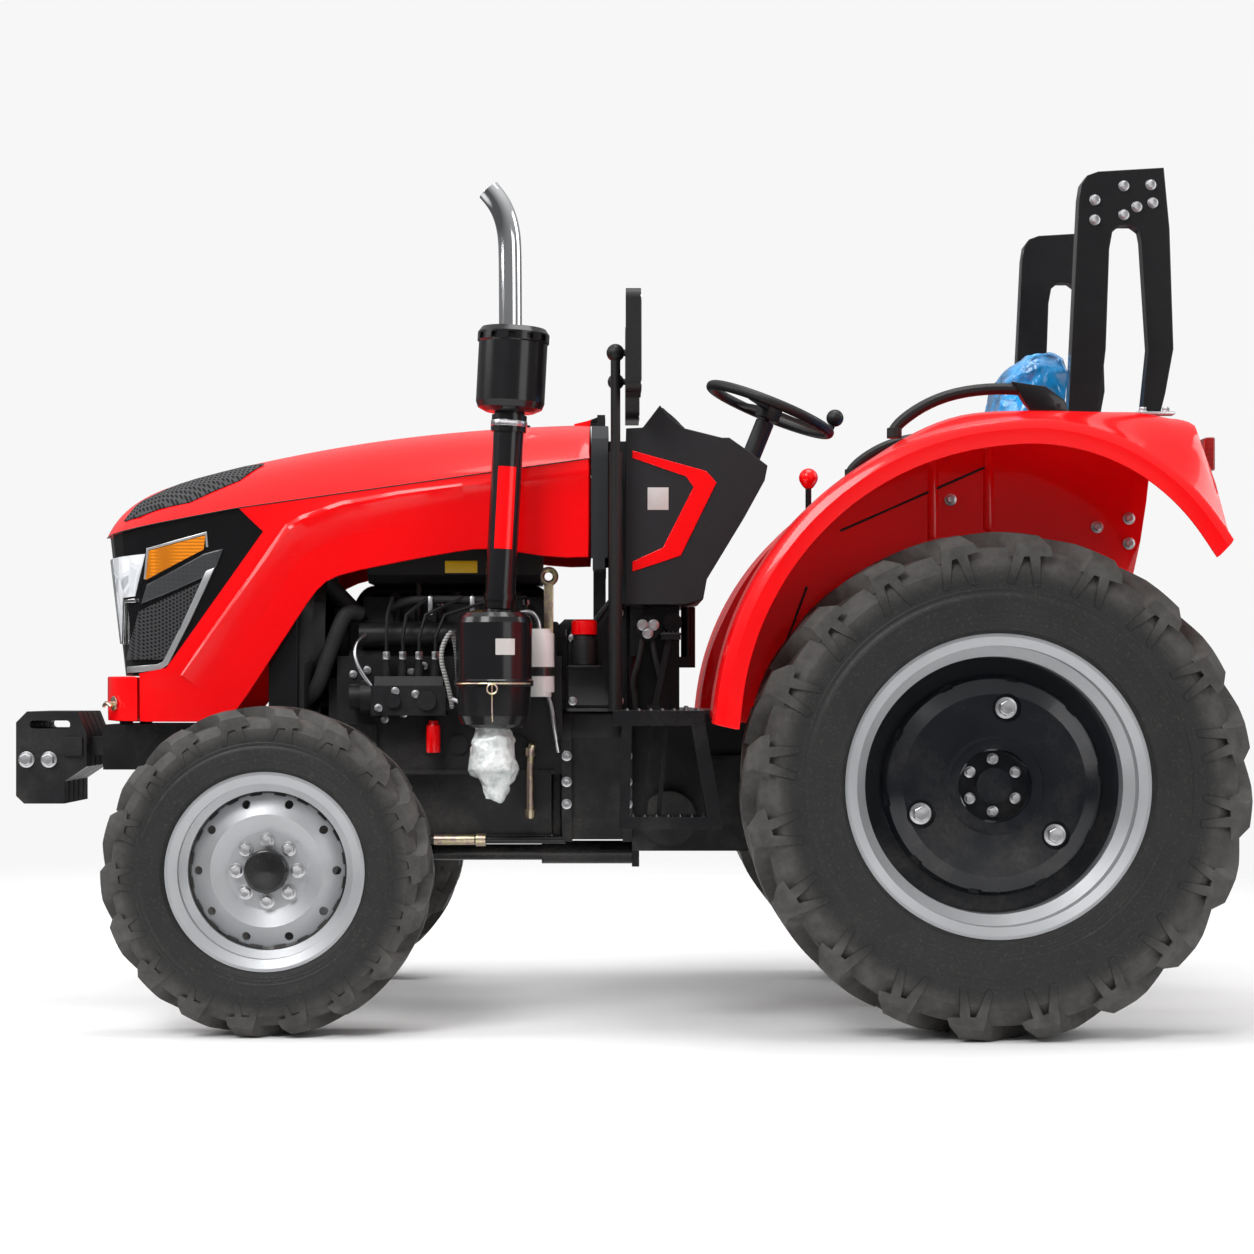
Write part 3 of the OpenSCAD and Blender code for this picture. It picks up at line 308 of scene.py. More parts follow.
def tyre_rubber(name, axle, edge, tip):
    """Rubber with moulded rings on the side wall, fine lines on the shoulder, and lugs painted a lighter grey: partly
    dust, partly a painted sheen for the light on their tops.
    """
    p = Paint(name, Specular_IOR_Level=0.32)
    r = p.radius(axle[0], axle[2])
    span = tip - edge
    rings = ((r * (2 * math.pi / 0.0075)).wave() * 0.5 + 0.5) * (1 - r.over(edge + span * 0.16, 0.004))
    line = 0
    for place in (0.18, 0.36, 0.42):
        begin = edge + span * place
        line = r.over(begin, 0.0012) * (1 - r.over(begin + 0.005, 0.0012)) + line
    flecks = p.noise(140, 4).over(0.62, 0.08)
    lugs = r.over(edge + span * 0.62, 0.03)
    # The lugs are painted lighter than the side wall: partly dust, partly a painted sheen that stands in for the light
    # falling on their tops.
    lug_dust_and_sheen = lugs * (p.noise(16, 6, 0.65).over(0.47, 0.2) * 0.6 + 0.35)
    clean = p.blend(p.noise(9, 5), (0.009, 0.0089, 0.0089), (0.021, 0.0205, 0.02))
    # Lighter grey of the lugs, for their dust and their painted sheen.
    dust = p.blend(p.noise(50, 4), (0.055, 0.052, 0.049), (0.14, 0.133, 0.125))
    p.put("Base Color", p.blend(flecks * 0.3, p.blend(lug_dust_and_sheen * 0.75, clean, dust), (0.075, 0.068, 0.06)))
    p.put("Roughness", p.noise(40, 5) * 0.2 + 0.4 + lug_dust_and_sheen * 0.15)
    return p.bump(rings * 0.4 + line * 0.8 + p.noise(220, 4) * 0.3, 0.4, 0.0018)


def plated():
    """Zinc plate with its yellow and faint rainbow passivation."""
    p = Paint("yellow_zinc", Metallic=1.0)
    p.put("Base Color", p.ramp(p.noise(35, 3), [(0.25, (0.62, 0.5, 0.22)), (0.45, (0.74, 0.66, 0.42)),
                                                (0.58, (0.6, 0.42, 0.4)), (0.75, (0.66, 0.62, 0.3))]))
    p.put("Roughness", p.noise(60, 4) * 0.2 + 0.22)
    return p.bump(p.noise(300, 2), 0.1, 0.0005)


def lens(name, colour, ribs):
    """Lamp cover with moulded optics behind a clear skin."""
    p = Paint(name, Coat_Weight=0.9, Coat_Roughness=0.03, Specular_IOR_Level=0.6)
    _, y, z = p.axes()
    optic = ((z * ribs).wave() * 0.5 + 0.5) * ((y * ribs).wave() * 0.5 + 0.5)
    p.put("Base Color", p.blend(optic, *shades(colour, 0.55, 1)))
    p.put("Roughness", p.noise(30, 3) * 0.06 + 0.06)
    return p.bump(optic, 0.25, 0.0016)


def reflector():
    """Clear lamp cover over a faceted silver reflector: each facet is painted its own grey as a painted reflection, and
    the facets' edges are painted light as painted highlights.
    """
    p = Paint("lamp_reflector", Coat_Weight=1.0, Coat_Roughness=0.02, Specular_IOR_Level=0.6)
    place = p.node("ShaderNodeMapping", {}, {"Vector": p.place(), "Scale": (1.0, 1.0, 0.55)})
    cells = {"Vector": place, "Scale": 26.0}
    facets = p.node("ShaderNodeTexVoronoi", {"feature": "F1"}, cells, out="Color")
    seams = p.node("ShaderNodeTexVoronoi", {"feature": "DISTANCE_TO_EDGE"}, cells)
    # Painted reflections: each facet gets its own grey, as if it mirrored a lighter or darker spot.
    silver = p.ramp(p.axes(facets)[0], [(0.0, (0.42, 0.44, 0.47)), (0.4, (0.66, 0.68, 0.71)),
                                        (1.0, (0.9, 0.91, 0.93))])
    # Painted highlights along the edges between the facets.
    p.put("Base Color", p.blend(1 - seams.over(0.05, 0.03), silver, (0.75, 0.77, 0.8)))
    p.put("Roughness", p.noise(30, 3) * 0.06 + 0.08)
    return p.bump(seams.over(0.05, 0.05), 0.35, 0.003)


def film(colour):
    """Thin wrinkled wrapping film over a padded seat, with painted highlights in a paler blue along its creases and
    crinkles.
    """
    p = Paint("seat_film", Coat_Weight=0.6, Coat_Roughness=0.06, Specular_IOR_Level=0.45)
    creases = (abs(p.noise(5, 3, 0.5, (1.0, 0.5, 1.6)) - 0.5) * 22).least(1.0)
    crinkle = (abs(p.noise(14, 3, 0.5, (1.4, 1.0, 0.7)) - 0.5) * 9).least(1.0)
    # Painted highlights: the creases and crinkles are painted a paler blue, for the light they catch.
    crease_highlight_tint = [c * 0.6 + 0.22 for c in colour]
    tone = p.blend(p.noise(7, 4).over(0.5, 0.14), *shades(colour, 0.42, 1))
    p.put("Base Color", p.blend((1 - creases) * 0.45 + (1 - crinkle) * 0.12, tone, crease_highlight_tint))
    p.put("Roughness", p.noise(15, 4) * 0.12 + 0.1)
    return p.bump(creases * 0.9 + crinkle * 0.3, 0.5, 0.008)


def clear_bag():
    p = Paint("clear_bag", Coat_Weight=0.6, Coat_Roughness=0.08)
    creases = abs(p.noise(30, 5) - 0.5)
    p.put("Base Color", p.blend((creases * 4).least(1.0), (0.8, 0.83, 0.82), (0.36, 0.42, 0.4)))
    p.put("Roughness", p.noise(40, 3) * 0.2 + 0.15)
    return p.bump(creases, 0.5, 0.006)


def white_can():
    """White paint with one black band."""
    p = Paint("filter_can", Coat_Weight=0.3, Coat_Roughness=0.1)
    _, _, z = p.axes()
    band = z.over(0.905, 0.001) * (1 - z.over(0.93, 0.001))
    white = p.blend(p.noise(20, 3), (0.78, 0.78, 0.76), (0.86, 0.86, 0.84))
    p.put("Base Color", p.blend(band, white, (0.02, 0.02, 0.02)))
    return p.put("Roughness", p.noise(30, 3) * 0.1 + 0.25)


def smoked():
    """Smoked lamp plastic over a fine moulded lattice."""
    p = Paint("smoked_lens", Coat_Weight=0.9, Coat_Roughness=0.04)
    x, _, z = p.axes()
    lattice = ((x + z) * 900).wave() * ((x - z) * 900).wave() * 0.5 + 0.5
    p.put("Base Color", p.blend(lattice, (0.018, 0.019, 0.02), (0.07, 0.073, 0.078)))
    p.put("Roughness", p.noise(60, 3) * 0.1 + 0.14)
    return p.bump(lattice, 0.25, 0.0008)


def hose():
    """Grey ribbed hose, with painted shade in the grooves between the ribs and painted highlights on the ribs' crests.
    """
    p = Paint("grey_hose", Specular_IOR_Level=0.4)
    _, _, z = p.axes()
    ribs = (z * (2 * math.pi / 0.008)).wave() * 0.5 + 0.5
    # Painted shade and highlight: dark in the grooves, light on the crests of the ribs.
    p.put("Base Color", p.blend(ribs, (0.16, 0.16, 0.155), (0.5, 0.5, 0.48)))
    p.put("Roughness", p.noise(60, 3) * 0.15 + 0.4)
    return p.bump(ribs, 0.6, 0.0015)


def dial_face():
    p = Paint("dial_face", Coat_Weight=1.0, Coat_Roughness=0.03)
    p.put("Base Color", p.blend(p.cells(90), (0.02, 0.02, 0.022), (0.06, 0.06, 0.065)))
    return p.put("Roughness", p.noise(60, 3) * 0.1 + 0.3)


def wire_mesh(pitch):
    """Black pressed mesh with staggered round holes, which are painted near-black as painted shade behind them."""
    p = Paint("black_mesh", Specular_IOR_Level=0.35)
    x, y, z = p.axes()
    step = 2 * math.pi / (pitch * 0.866)
    across, up = (x + y * 0.6) * step, (z + y * 0.9) * step * 0.866
    turn = math.pi / 2
    bars = (across + turn).wave() + (across * -0.5 + up + turn).wave() + (across * 0.5 + up + turn).wave()
    hole = bars.over(0.1, 0.5)
    # The holes are painted darker than the black bars: painted shade where one would see into the grille.
    p.put("Base Color", p.blend(hole, (0.045, 0.045, 0.048), (0.001, 0.001, 0.001)))
    p.put("Roughness", 0.32 + hole * 0.5 + p.noise(50, 3) * 0.08)
    return p.bump(1 - hole, 0.8, 0.003)


FINISH = {}
SLOT_FINISH = {
    "black_paint": "black", "red_paint": "red", "grey_plastic": "grey", "black_plastic": "mould",
    "silver_paint": "silver", "cast_black": "cast", "engine_black": "engine", "plated_steel": "zinc",
    "chrome": "chrome", "white_paint": "white", "clear_lens": "clear", "amber_lens": "amber", "red_lens": "tail",
    "blue_film": "film", "clear_film": "bag",
}
NODE_FINISH = {
    "grille": "mesh", "nose_mask": "mask", "rear_weight_left": "dish", "rear_weight_right": "dish",
    "headlamps": "reflector",
}


def mix_finishes():
    """Makes each finish once and paints the CAD nodes that stay."""
    paint, sizes = bpy.context.scene.tractor_paint, bpy.context.scene.tractor_sizes
    label_gloss = (60, 3, 0.15, 0.35)
    FINISH.update(
        red=plain("body_paint", (3.5, 2), shades(paint.body, 0.9, 1.06), (24, 5, 0.1, 0.2), (260, 2, 0.05, 0.0006),
                  0.2, Coat_Weight=0.4, Coat_Roughness=0.05, Specular_IOR_Level=0.22),
        black=gloss_black(paint.chassis, "gloss_black", 0.17),
        dish=gloss_black((0.004, 0.005, 0.007), "dish_black", 0.12),
        mask=gloss_black((0.004, 0.004, 0.0045), "mask_black", 0.1),
        cast=cast_iron((0.009, 0.009, 0.01), "cast_iron"),
        engine=cast_iron((0.011, 0.011, 0.012), "engine_casting"),
        grey=grained(paint.console, "console_plastic"),
        mould=grained((0.008, 0.008, 0.008), "black_plastic"),
        silver=plain("rim_silver", (12, 4), shades(paint.rim, 0.82, 1), (60, 4, 0.14, 0.36), (420, 2, 0.06, 0.0004),
                     0.25, Metallic=0.55, Coat_Weight=0.25, Coat_Roughness=0.15),
        chrome=plain("chrome", (8, 3), ((0.72, 0.73, 0.75), (0.86, 0.87, 0.88)), (20, 4, 0.08, 0.04), Metallic=1.0),
        steel=plain("bright_steel", (40, 4), ((0.45, 0.45, 0.46), (0.66, 0.66, 0.68)), (70, 4, 0.25, 0.2),
                    Metallic=1.0),
        satin=plain("silvered_plastic", (6, 3), ((0.56, 0.57, 0.58), (0.7, 0.71, 0.72)), (9, 3, 0.1, 0.24),
                    (30, 2, 0.03, 0.0005), Metallic=0.8),
        rubber=plain("black_rubber", (20, 4), ((0.012,) * 3, (0.028,) * 3), (60, 4, 0.2, 0.55),
                     (300, 3, 0.15, 0.0006), Specular_IOR_Level=0.3),
        paper=plain("label_paper", (40, 3), ((0.5, 0.49, 0.47), (0.6, 0.59, 0.57)), label_gloss,
                    Coat_Weight=0.3, Coat_Roughness=0.15),
        yellow=plain("yellow_plate", (30, 3), ((0.78, 0.5, 0.004), (0.88, 0.6, 0.01)), label_gloss,
                     Coat_Weight=0.4, Coat_Roughness=0.12),
        clear=lens("headlamp_lens", (0.75, 0.78, 0.8), 420),
        amber=lens("amber_lens", (0.95, 0.28, 0.006), 700),
        tail=lens("tail_lens", (0.5, 0.008, 0.006), 500),
        rear_tyre=tyre_rubber("rear_rubber", REAR_AXLE, 0.378, 0.63),
        front_tyre=tyre_rubber("front_rubber", FRONT_AXLE, 0.25, 0.414),
        zinc=plated(), film=film(paint.film), bag=clear_bag(), white=white_can(), smoked=smoked(), hose=hose(),
        dial=dial_face(), reflector=reflector(), mesh=wire_mesh(sizes.mesh_pitch),
    )
    for part in frame["record"]["subparts"]:
        name, slot = part["node"], part["material_slot"]
        if slot == "tyre_rubber":
            finish = "rear_tyre" if name.startswith("rear") else "front_tyre"
        else:
            finish = NODE_FINISH.get(name) or SLOT_FINISH[slot]
        cover(NODES[name], FINISH[finish])


def cover(obj, finish):
    """Gives an object one finish."""
    obj.data.materials.clear()
    obj.data.materials.append(finish.material)


# Modelling helpers


def clear_selection():
    if bpy.context.object and bpy.context.object.mode != "OBJECT":
        bpy.ops.object.mode_set(mode="OBJECT")
    bpy.ops.object.select_all(action="DESELECT")


def activate(obj):
    """Makes an object the only one that is selected."""
    clear_selection()
    obj.select_set(True)
    bpy.context.view_layer.objects.active = obj


def made(operator, **settings):
    """Adds a primitive and returns it."""
    clear_selection()
    operator(**settings)
    return bpy.context.object


def cylinder(radius, depth, place=(0, 0, 0), sides=24, **settings):
    return made(bpy.ops.mesh.primitive_cylinder_add, vertices=sides, radius=radius, depth=depth, location=place,
                **settings)


def torus(radius, thick, place=(0, 0, 0), around=28, across=8):
    return made(bpy.ops.mesh.primitive_torus_add, major_radius=radius, minor_radius=thick, major_segments=around,
                minor_segments=across, location=place)


def edit(obj, *steps):
    """Runs edit-mode steps on the whole mesh."""
    activate(obj)
    bpy.ops.object.mode_set(mode="EDIT")
    bpy.ops.mesh.select_all(action="SELECT")
    for step in steps:
        step()
    bpy.ops.object.mode_set(mode="OBJECT")
    return obj


def face_out():
    """Turns all faces of the mesh that is edited outward."""
    bpy.ops.mesh.select_all(action="SELECT")
    bpy.ops.mesh.normals_make_consistent(inside=False)


def is_top(_, normal):
    return normal.z > 0.9


def pick(obj, test, kind="FACE"):
    """Selects the faces or points that pass a test on their place and normal, and stays in edit mode."""
    activate(obj)
    bpy.ops.object.mode_set(mode="EDIT")
    bpy.ops.mesh.select_mode(type=kind)
    bpy.ops.mesh.select_all(action="DESELECT")
    bpy.ops.object.mode_set(mode="OBJECT")
    if kind == "FACE":
        for face in obj.data.polygons:
            face.select = test(face.center, face.normal)
    else:
        for point in obj.data.vertices:
            point.select = test(point.co, point.normal)
    bpy.ops.object.mode_set(mode="EDIT")


def inset_top(obj, *steps):
    """Insets the top of a piece in steps, each of a width and a rise."""
    pick(obj, is_top)
    for width, rise in steps:
        bpy.ops.mesh.inset(thickness=width)
        bpy.ops.transform.translate(value=(0, 0, rise))
    bpy.ops.object.mode_set(mode="OBJECT")
    return obj


def raise_top(obj, width, rise):
    """Insets the top of a piece and draws a neck out of it."""
    pick(obj, is_top)
    bpy.ops.mesh.inset(thickness=width)
    bpy.ops.mesh.extrude_region_move(TRANSFORM_OT_translate={"value": (0, 0, rise)})
    bpy.ops.object.mode_set(mode="OBJECT")
    return obj


def modify(obj, kind, **settings):
    """Adds a modifier and applies it."""
    activate(obj)
    modifier = obj.modifiers.new(kind.lower(), kind)
    for key, value in settings.items():
        setattr(modifier, key, value)
    bpy.ops.object.modifier_apply(modifier=modifier.name)
    return obj


def bevel(obj, width, segments=2, angle=0.5, **settings):
    """Rounds the edges that are sharper than an angle."""
    return modify(obj, "BEVEL", width=width, segments=segments, limit_method="ANGLE", angle_limit=angle, **settings)


def joined(pieces):
    """Joins pieces into the first one."""
    clear_selection()
    for piece in pieces:
        piece.select_set(True)
    bpy.context.view_layer.objects.active = pieces[0]
    bpy.ops.object.transform_apply(location=True, rotation=True, scale=True)
    if len(pieces) > 1:
        bpy.ops.object.join()
    return pieces[0]


def copies(obj, places):
    """Copies a piece, each copy with its own mesh, and joins the copies."""
    joined([obj])
    made_copies = []
    for place in places:
        copy = obj.copy()
        copy.data = obj.data.copy()
        bpy.context.scene.collection.objects.link(copy)
        copy.data.transform(place)
        if place.determinant() < 0:
            copy.data.flip_normals()
        made_copies.append(copy)
    bpy.data.objects.remove(obj)
    return joined(made_copies)


def both_sides(obj):
    """The piece and its mirror image, joined."""
    return copies(obj, [Matrix(), MIRROR])


def settle(obj, finish, name, body="chassis", angle=35, place=None):
    """Moves a piece to its place, smooths it, paints it and hangs it on its body."""
    joined([obj]).data.transform(place or Matrix())
    bpy.ops.object.shade_smooth_by_angle(angle=math.radians(angle))
    obj.name = obj.data.name = name
    cover(obj, FINISH[finish])
    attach(obj, body)
    return obj


def hex_bolt(width, height, washer):
    """A hexagon bolt on its washer, standing on the ground plane."""
    thick = 0.003
    head = cylinder(width / math.sqrt(3), height, (0, 0, thick + height / 2), 6)
    inset_top(head, (width * 0.08, width * 0.06), (width * 0.16, -width * 0.03))
    bevel(head, width * 0.03)
    disc = bevel(cylinder(washer, thick, (0, 0, thick / 2), 28), 0.0008)
    return joined([head, disc])


def bolts(name, size, places, body="chassis"):
    """Like bolts of one size, as one piece."""
    settle(copies(hex_bolt(*size), places), "steel", name, body)


def pipe(points, radius, smooth=True, sides=3):
    """A bent pipe through points, turned into a mesh."""
    obj = made(bpy.ops.curve.primitive_nurbs_path_add)
    data = obj.data
    data.splines.clear()
    spline = data.splines.new("NURBS" if smooth else "POLY")
    spline.points.add(len(points) - 1)
    for target, point in zip(spline.points, points):
        target.co = (*point, 1)
    if smooth:
        spline.use_endpoint_u, spline.order_u, spline.resolution_u = True, 3, 6
    data.bevel_depth, data.bevel_resolution, data.use_fill_caps = radius, sides, True
    return meshed(obj)


def tube(radius, *points, smooth=True, sides=3):
    """A pipe through points in millimetres."""
    return pipe([at(*point) for point in points], radius, smooth, sides)


def bar(radius, *points):
    """A straight round bar through points in millimetres."""
    return tube(radius, *points, smooth=False, sides=4)


def meshed(obj):
    """Turns a curve into a closed mesh."""
    obj.location, obj.rotation_euler = (0, 0, 0), (0, 0, 0)
    activate(obj)
    bpy.ops.object.convert(target="MESH")
    return edit(bpy.context.object, lambda: bpy.ops.mesh.remove_doubles(threshold=0.00002), face_out)


def cut_plate(outline, y, thick, edge=0.0015):
    """A plate cut to an outline of the side view, with soft edges."""
    obj = made(bpy.ops.curve.primitive_nurbs_path_add)
    data = obj.data
    data.splines.clear()
    data.dimensions, data.fill_mode = "2D", "BOTH"
    spline = data.splines.new("POLY")
    spline.points.add(len(outline) - 1)
    spline.use_cyclic_u = True
    for target, (x, z) in zip(spline.points, outline):
        target.co = (x / 1000 - STATION, -z / 1000, 0, 1)
    data.extrude, data.bevel_depth, data.bevel_resolution = thick / 2 - edge, edge, 1
    obj = meshed(obj)
    obj.data.transform(put(Vector((0, y / 1000, 0)), FACE_LEFT))
    return obj


def plate(size, place=Vector(), edge=0.002):
    """A flat plate with soft edges."""
    obj = made(bpy.ops.mesh.primitive_cube_add, size=1)
    obj.data.transform(Matrix.Diagonal((*size, 1)))
    bevel(obj, edge, angle=0.6)
    obj.data.transform(put(place))
    return obj


def wrap(radius, low, high, start, end):
    """A thin band round part of an upright pipe, between two heights and two angles."""
    band = cylinder(radius, high - low, (0, 0, (low + high) / 2), 72, end_fill_type="NOTHING")
    joined([band])
    pick(band, lambda c, _: not start < math.degrees(math.atan2(c.y, c.x)) % 360 < end)
    bpy.ops.mesh.delete(type="FACE")
    bpy.ops.object.mode_set(mode="OBJECT")
    return modify(band, "SOLIDIFY", thickness=0.0006, offset=1)


def crumple(obj, folds):
    """Raises sharp folds on a film, each of a width and a depth."""
    for width, depth in folds:
        noise = bpy.data.textures.new("film_folds", "MUSGRAVE")
        noise.musgrave_type, noise.noise_scale = "RIDGED_MULTIFRACTAL", width
        noise.octaves, noise.offset, noise.gain = 3, 0.9, 1.6
        modify(obj, "DISPLACE", texture=noise, strength=depth, mid_level=0.5, texture_coords="LOCAL")
    return obj


def copy_of(node):
    """A copy of a frame part, with its points merged."""
    obj = bpy.data.objects.new(node + "_skin", NODES[node].data.copy())
    bpy.context.scene.collection.objects.link(obj)
    activate(obj)
    if obj.data.has_custom_normals:
        bpy.ops.mesh.customdata_custom_splitnormals_clear()
    return edit(obj, lambda: bpy.ops.mesh.remove_doubles(threshold=0.00004))


# The hood's form, as in the part's source


HOOD_REAR, NOSE, NOSE_LENGTH = 1015.0, 2347.0, 387.0
NOSE_ROOT = NOSE - NOSE_LENGTH
EDGE_REAR, EDGE_ROOT, EDGE_NOSE = 1486, 1355, 1282
HALF_REAR, HALF_ROOT = 285, 264


def hood_edge(x):
    """Height of the hood's top edge."""
    if x < NOSE_ROOT:
        return EDGE_REAR + (EDGE_ROOT - EDGE_REAR) * (x - HOOD_REAR) / (NOSE_ROOT - HOOD_REAR)
    return EDGE_ROOT + (EDGE_NOSE - EDGE_ROOT) * (x - NOSE_ROOT) / NOSE_LENGTH


def hood_width(x):
    """Half the hood's width."""
    if x < NOSE_ROOT:
        return HALF_REAR + (HALF_ROOT - HALF_REAR) * (x - HOOD_REAR) / (NOSE_ROOT - HOOD_REAR)
    return HALF_ROOT * max(0.0, 1 - ((x - NOSE_ROOT) / NOSE_LENGTH) ** 5) ** 0.45


def sheet(rows, steps):
    """A flat grid, and its points row by row."""
    obj = made(bpy.ops.mesh.primitive_grid_add, x_subdivisions=rows - 1, y_subdivisions=steps - 1, size=1)
    return obj, sorted(obj.data.vertices, key=lambda v: (round(v.co.x, 4), v.co.y))


def lay_on(obj, node):
    """Lays a sheet on the left side of a frame part."""
    modify(obj, "SHRINKWRAP", target=NODES[node], wrap_method="PROJECT", use_project_y=True,
           use_negative_direction=True, use_positive_direction=False, use_project_x=False, use_project_z=False)


def face_left(obj):
    edit(obj, face_out)
    if sum(face.normal.y for face in obj.data.polygons) < 0:
        obj.data.flip_normals()


# Pieces


class PaintFrame(bpy.types.Operator):
    """Paint the tractor's frame with its finishes"""

    bl_idname = "tractor.paint_frame"
    bl_label = "Paint the frame"

    def execute(self, context):
        mix_finishes()
        return {"FINISHED"}


class DressSheetMetal(bpy.types.Operator):
    """Smooth the pressed sheets and round the edges of the plates and mouldings"""

    bl_idname = "tractor.dress_sheet_metal"
    bl_label = "Sheet metal"

    def execute(self, context):
        edge = context.scene.tractor_sizes.edge
        for node, body, levels in (
            ("fender_left", "chassis", 2), ("fender_right", "chassis", 2), ("hood_top", "hood", 2),
            ("hood_side_left", "hood", 1), ("hood_side_right", "hood", 1), ("nose_panel", "hood", 1),
            ("grab_rails", "chassis", 2), ("exhaust_tip", "chassis", 2),
        ):
            obj = edit(
                copy_of(node),
                lambda: bpy.ops.mesh.tris_convert_to_quads(face_threshold=math.radians(25),
                                                           shape_threshold=math.radians(60)),
                lambda: bpy.ops.mesh.select_mode(type="EDGE"),
                lambda: bpy.ops.mesh.select_all(action="DESELECT"),
                lambda: bpy.ops.mesh.edges_select_sharp(sharpness=math.radians(34)),
                lambda: bpy.ops.transform.edge_crease(value=0.96),
            )
            modify(obj, "SUBSURF", levels=levels, render_levels=levels)
            self.finish(obj, node, body, 30)
            if node == "hood_top":
                self.blacken_hinge(obj)
        for node, width in (
            ("console", 6), ("console_stripes", 1), ("safety_arches", 1.2), ("front_weights", 1), ("platform", 0.6),
            ("gearbox", 2), ("hood_band", 1.5), ("console_pedestal", 1.5), ("engine", 1.2), ("radiator", 1),
            ("tail_lamps", 2), ("mirrors", 1),
        ):
            obj = edit(copy_of(node), lambda: bpy.ops.mesh.dissolve_limited(angle_limit=math.radians(0.4)))
            bevel(obj, edge * width, 3, math.radians(40), use_clamp_overlap=True, miter_outer="MITER_ARC")
            self.finish(obj, node, "chassis", 40)
            modify(obj, "WEIGHTED_NORMAL", keep_sharp=True)
        return {"FINISHED"}

    def blacken_hinge(self, obj):
        """Paints the hinge at the rear of the hood's top black."""
        obj.data.materials.append(FINISH["black"].material)
        for face in obj.data.polygons:
            x, y, z = face.center
            if abs(y) < 0.045 and (x + STATION < 1.0146 or (x + STATION < 1.07 and z < 1.5945)):
                face.material_index = 1

    def finish(self, obj, node, body, angle):
        activate(obj)
        bpy.ops.object.shade_smooth_by_angle(angle=math.radians(angle))
        obj.data.materials.clear()
        obj.data.materials.append(NODES[node].data.materials[0])
        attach(obj, body)
        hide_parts(node)


class MakeWheelFittings(bpy.types.Operator):
    """Model the wheel bolts, hub caps, hub nuts, and the dark rings of painted shade where the front discs meet their
    rims
    """

    bl_idname = "tractor.make_wheel_fittings"
    bl_label = "Wheel bolts and caps"

    def execute(self, context):
        width = context.scene.tractor_sizes.bolt
        for end, side, turn in SIDES:
            front, rear = "front_wheel_" + end, "rear_wheel_" + end

            def on_wheel(axle, out):
                return Vector((axle[0], side * (axle[1] + out), axle[2]))

            def circle(axle, out, radius, start, step, count):
                angles = [math.radians(start + step * i) for i in range(count)]
                return [put(on_wheel(axle, out) + radius * Vector((math.cos(a), 0, math.sin(a))), turn) for a in angles]

            bolts("front_wheel_bolts_" + end, (width, 0.016, width * 0.72),
                  circle(FRONT_AXLE, 0.0281, 0.077, 0, 45, 8), front)
            cap = cylinder(0.0548, 0.034, (0, 0, 0.017), 48)
            inset_top(cap, (0.006, 0.0035), (0.028, -0.0015), (0.012, 0.003))
            bevel(cap, 0.0015, 3)
            settle(cap, "black", "hub_cap_" + end, front, place=put(on_wheel(FRONT_AXLE, 0.0281), turn))

            # Black notched ring where the disc meets the rim: a dark ring put as painted shade in the joint, with
            # notches as painted shade for its dark slots
            notch = made(bpy.ops.mesh.primitive_cube_add, size=1, scale=(0.009, 0.03, 0.008))
            notches = copies(notch, [Matrix.Rotation(math.radians(18 * i + 9), 4, "Z") @ put((0.195, 0, 0.0155))
                                     for i in range(20)])
            joint_shade_ring = joined([torus(0.1975, 0.0035, (0, 0, 0.0145), 96), notches])
            settle(joint_shade_ring, "black", "rim_seam_" + end, front, place=put(on_wheel(FRONT_AXLE, 0), turn))

            bolts("weight_bolts_" + end, (width * 1.4, 0.024, width * 1.05),
                  circle(REAR_AXLE, 0.0421, 0.196, 99, -120, 3), rear)
            bolts("hub_bolts_" + end, (width * 0.8, 0.012, width * 0.55),
                  circle(REAR_AXLE, 0.0201, 0.066, 30, 60, 6), rear)
        return {"FINISHED"}


